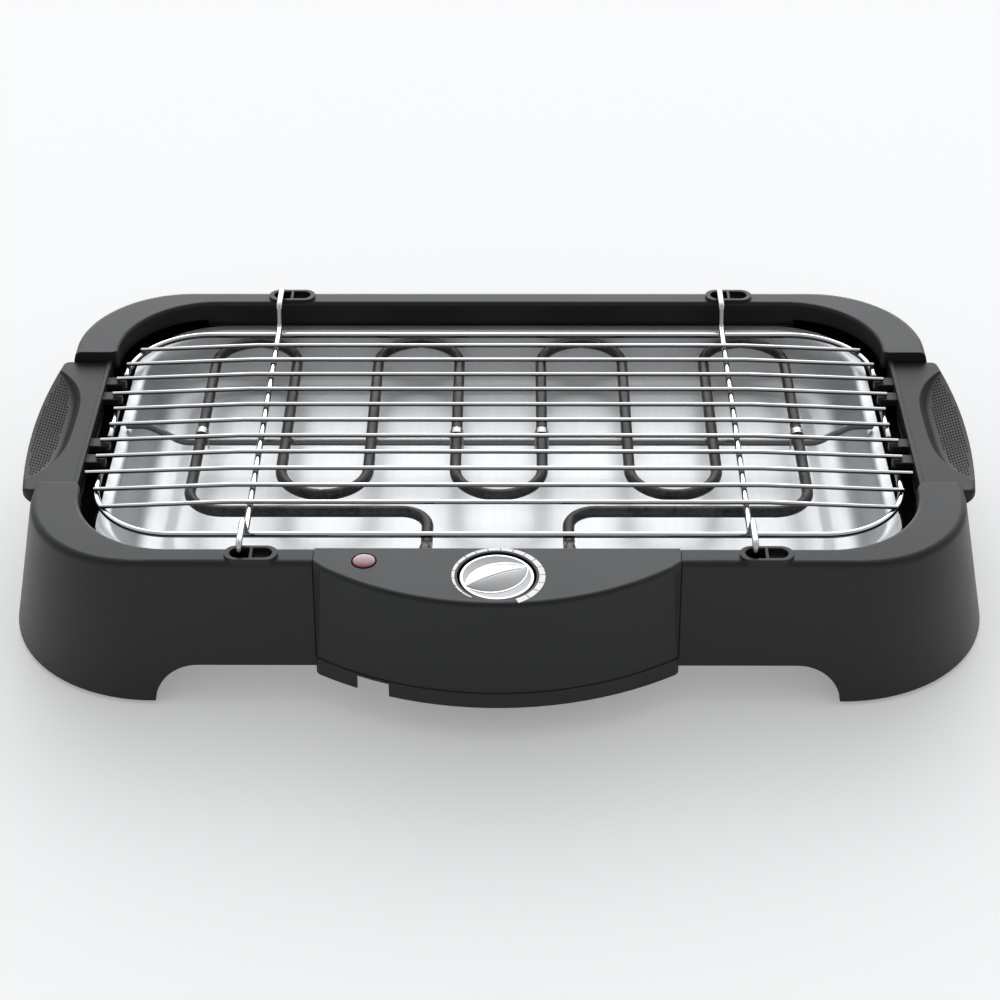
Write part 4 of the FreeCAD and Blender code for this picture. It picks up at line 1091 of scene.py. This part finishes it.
@dataclass
class Knob(Assembly):
    """The thermostat knob: bright ring, shallow dish and leaf-shaped grip."""

    body: Body = Body.KNOB
    sink: float = 0.6
    rim_width: float = 1.9
    rim_round: float = 0.5
    rim_steps: int = 6
    dish_edge: float = 0.3
    dish_depth: float = 1.3
    dish_thick: float = 1.0
    dish_overlap: float = 0.1
    dish_steps: int = 24
    dish_pole_share: float = 0.003
    dish_pole: float = 0.05
    grip_reach: float = 17.9
    grip_reach_share: float = 0.995
    grip_half_width: float = 11.5
    grip_steps: int = 48
    grip_rise: float = 1.6
    grip_lift: float = 0.1
    grip_power: float = 1.4
    roof_steps: int = 14
    groove_share: float = 0.03
    groove_depth: float = 0.25
    lip_width: float = 0.7
    lip_height: float = 0.2
    pointer_angle: float = math.radians(207.5)

    def __post_init__(self) -> None:
        """Read the knob's place from the solids."""
        box = SolidBox("knob")
        self.foot = box.foot
        self.top = SolidBox("control_cover").top - self.sink
        self.radius = box.length / 2.0
        self.inner = self.radius - self.rim_width
        self.centre = Vector((box.x, box.y, 0.0))

    def build(self) -> None:
        """Build the knob in place of its solid."""
        self.seat(self._ring(), "knob_ring", "knob_bright", "knob_metal", "knob")
        self.seat(self._dish(), "knob_dish", "knob_satin", "knob_metal")
        self.seat(self._grip(), "knob_grip", "knob_silver", "knob_metal", crease=SOFT_CREASE)
        self.seat(self._lip(), "knob_lip", "knob_bright", "knob_metal")

    def _ring(self) -> MeshDraft:
        """Turn the outer ring with its rounded rim."""
        bend = self.rim_round
        outer_axis, inner_axis, level = self.radius - bend, self.inner + bend, self.top - bend
        turns = steps(self.rim_steps, QUARTER_TURN)
        profile = [(self.inner, self.foot), (outer_axis, self.foot), (self.radius, self.foot + bend)]
        profile += [(outer_axis + bend * math.cos(t), level + bend * math.sin(t)) for t in turns]
        profile += [(inner_axis - bend * math.sin(t), level + bend * math.cos(t)) for t in turns]
        return MeshDraft().lathe(profile, self.centre, closed=True)

    def _floor_level(self, place: float) -> float:
        """Height of the dish's floor at a distance from the axis."""
        share = min(1.0, place / self.inner)
        return self.top - self.dish_edge - (self.dish_depth - self.dish_edge) * (1.0 - share ** 2)

    def _dish(self) -> MeshDraft:
        """Turn the shallow dish inside the ring."""
        edge = self.inner + self.dish_overlap
        shares = [max(self.dish_pole_share, share) for share in steps(self.dish_steps)]
        profile = [(edge * share, self._floor_level(edge * share)) for share in shares]
        foot = self.top - self.dish_depth - self.dish_thick
        return MeshDraft().lathe(profile + [(edge, foot), (self.dish_pole, foot)], self.centre)

    def _leaf(self, wider: float) -> list[tuple[Vector, Vector, float, float]]:
        """Step along the grip's leaf-shaped plan.

        Args:
            wider: How much wider than the grip the leaf is.

        Returns:
            For each step its middle, the half width as a vector across, its share of the reach, and
            the height of the lip there.
        """
        reach, wide = self.grip_reach + wider / 2.0, self.grip_half_width + wider
        bend = (reach ** 2 + wide ** 2) / (2.0 * wide)
        along = Vector((math.cos(self.pointer_angle), math.sin(self.pointer_angle), 0.0))
        across = Vector((-along.y, along.x, 0.0))
        places = []
        for turn in steps(self.grip_steps, math.pi):
            share = -self.grip_reach_share * math.cos(turn)
            half = across * (math.sqrt(bend ** 2 - (share * reach) ** 2) - (bend - wide))
            offset = along * (share * reach)
            lip = self._floor_level((offset + half).length) + self.lip_height
            places.append((self.centre + offset, half, share, lip))
        return places

    @staticmethod
    def _slice(middle: Vector, half: Vector, section: Sequence[Point]) -> list[Vector]:
        """Place a section across the leaf, given by share of the half width and height."""
        return [middle + half * share + Vector((0.0, 0.0, z)) for share, z in section]

    def _grip(self) -> MeshDraft:
        """Draw the grip: a low roof over the leaf, with a fine groove along its ridge."""
        shares = steps(self.roof_steps)[1:]
        rings = []
        for middle, half, place, edge in self._leaf(0.0):
            ridge = self.top + self.grip_lift + self.grip_rise * (1.0 - place ** 2)
            side = [(self.groove_share, ridge)]
            side += [(s, edge + (ridge - edge) * (1.0 - s ** self.grip_power)) for s in shares]
            side.append((1.0, edge - self.dish_thick))
            other = [(-s, z) for s, z in reversed(side)]
            rings.append(self._slice(middle, half, other + [(0.0, ridge - self.groove_depth)] + side))
        return MeshDraft().stack(rings)

    def _lip(self) -> MeshDraft:
        """Draw the low lip round the foot of the grip."""
        rings = []
        for middle, half, _, high in self._leaf(self.lip_width):
            low = high - self.dish_thick
            rings.append(self._slice(middle, half, ((-1.0, low), (-1.0, high), (1.0, high), (1.0, low))))
        return MeshDraft().stack(rings)


@dataclass
class Rack(Assembly):
    """The wire rack with the beads of its welds."""

    body: Body = Body.RACK
    bar_radius: float = 1.25
    bar_sides: int = 16
    bar_count: int = 11
    bar_bend: float = 60.0
    bar_step: float = 1.0
    wire_radius: float = 1.75
    corner: float = 46.0
    corner_step: float = 3.0
    level_past_cross: float = 11.0
    weld_sink: float = 0.25
    hook_past_rim: float = 3.0
    hook_run: float = 6.0
    hook_bend: float = 4.5
    bead: float = 1.5
    bead_squash: float = 0.55

    def build(self) -> None:
        """Bend every wire in place of its solid, and add the welds."""
        self._bars()
        for name in ("rack_rear_rim", "rack_front_rim"):
            self._rim(name)
        for side in Side:
            self._cross(f"rack_cross_{side.name.lower()}")
            self._side_bar(f"rack_side_bar_{side.name.lower()}")

    def _seat_wire(self, name: str, draft: MeshDraft) -> None:
        """Seat the bent wires that stand for one solid."""
        self.seat(draft, f"{name}_wire", "rack_chrome", "rack_chrome", name, SOFT_CREASE)

    def _run(self, name: str) -> tuple[float, float]:
        """Find the long run of a rim wire.

        Args:
            name: Name of the rim's solid.

        Returns:
            Where its axis lies across the grill, and which way is outwards there.
        """
        box = SolidBox(name)
        if name == "rack_rear_rim":
            return box.rear - self.wire_radius, 1.0
        return box.front + self.wire_radius, -1.0

    def _rim(self, name: str) -> None:
        """Bend a U-shaped rim wire.

        Args:
            name: Name of the solid.
        """
        box = SolidBox(name)
        run, way = self._run(name)
        x, end = box.right - self.wire_radius, box.front if way > 0.0 else box.rear
        points = [Vector((px, y, box.z)) for px, y in ((-x, end), (-x, run), (x, run), (x, end))]
        line = bent_line(points, [self.corner] * 2, self.corner_step)
        self._seat_wire(name, MeshDraft().tube(line, self.wire_radius))

    def _side_bar(self, name: str) -> None:
        """Cut a short straight rim wire in place of a solid."""
        box = SolidBox(name)
        self._seat_wire(name, MeshDraft().tube([Vector((box.x, y, box.z)) for y in (box.front, box.rear)],
                                               self.wire_radius))

    def _cross(self, name: str) -> None:
        """Bend a cross wire with its two hooks.

        Args:
            name: Name of the solid.
        """
        box, radius = SolidBox(name), self.wire_radius
        top = box.top - radius
        level = SolidBox("rack_bars").top - 2.0 * self.bar_radius - radius + self.weld_sink
        halves = []
        for rim, end in (("rack_front_rim", box.front + radius), ("rack_rear_rim", box.rear - radius)):
            run, way = self._run(rim)
            rise = run + way * self.hook_past_rim
            corners = ((rise, level), (rise + way * self.hook_run, top), (end, top), (end, box.foot))
            halves.append([Vector((box.x, y, z)) for y, z in corners])
        line = bent_line(halves[0][::-1] + halves[1], [self.hook_bend] * 6)
        self._seat_wire(name, MeshDraft().tube(line, radius))

    def _bars(self) -> None:
        """Bend the thin bars, and set a weld bead wherever one meets a cross wire."""
        box, radius = SolidBox("rack_bars"), self.bar_radius
        cross = SolidBox("rack_cross_right").x
        level, end_level = box.top - radius, box.foot + radius
        first, last = box.front + radius, box.rear - radius
        corners = [v.co / MM for v in self.nodes["rack_bars"].data.vertices]
        size = Vector((self.bead, self.bead, self.bead * self.bead_squash))
        bars, beads = MeshDraft(), MeshDraft()
        for index in range(self.bar_count):
            y = first + (last - first) * index / (self.bar_count - 1)
            reach = max(corner.x for corner in corners if abs(corner.y - y) < 2.0 * radius)
            half = [(cross + self.level_past_cross, level), (reach, end_level)]
            line = bent_line(mirrored(y, half), [self.bar_bend] * 2, self.bar_step)
            bars.tube(line, radius, self.bar_sides)
            for side in Side:
                beads.blob(Vector((side.value * cross, y, level - radius)), size)
        self._seat_wire("rack_bars", bars)
        self.seat(beads, "rack_weld_beads", "rack_chrome", "rack_chrome")


def main() -> None:
    """Load the solids, dress them and set the stage."""
    logging.basicConfig(level=logging.INFO, format="%(name)s: %(message)s")
    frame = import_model()
    finishes = build_finishes()
    for assembly in (FrameShells, Handles, DripPan, Heater, ControlBox, Knob, Rack):
        assembly(frame["nodes"], finishes).build()
    Stage(finishes["studio_floor"]).build()


if __name__ == "__main__":
    main()
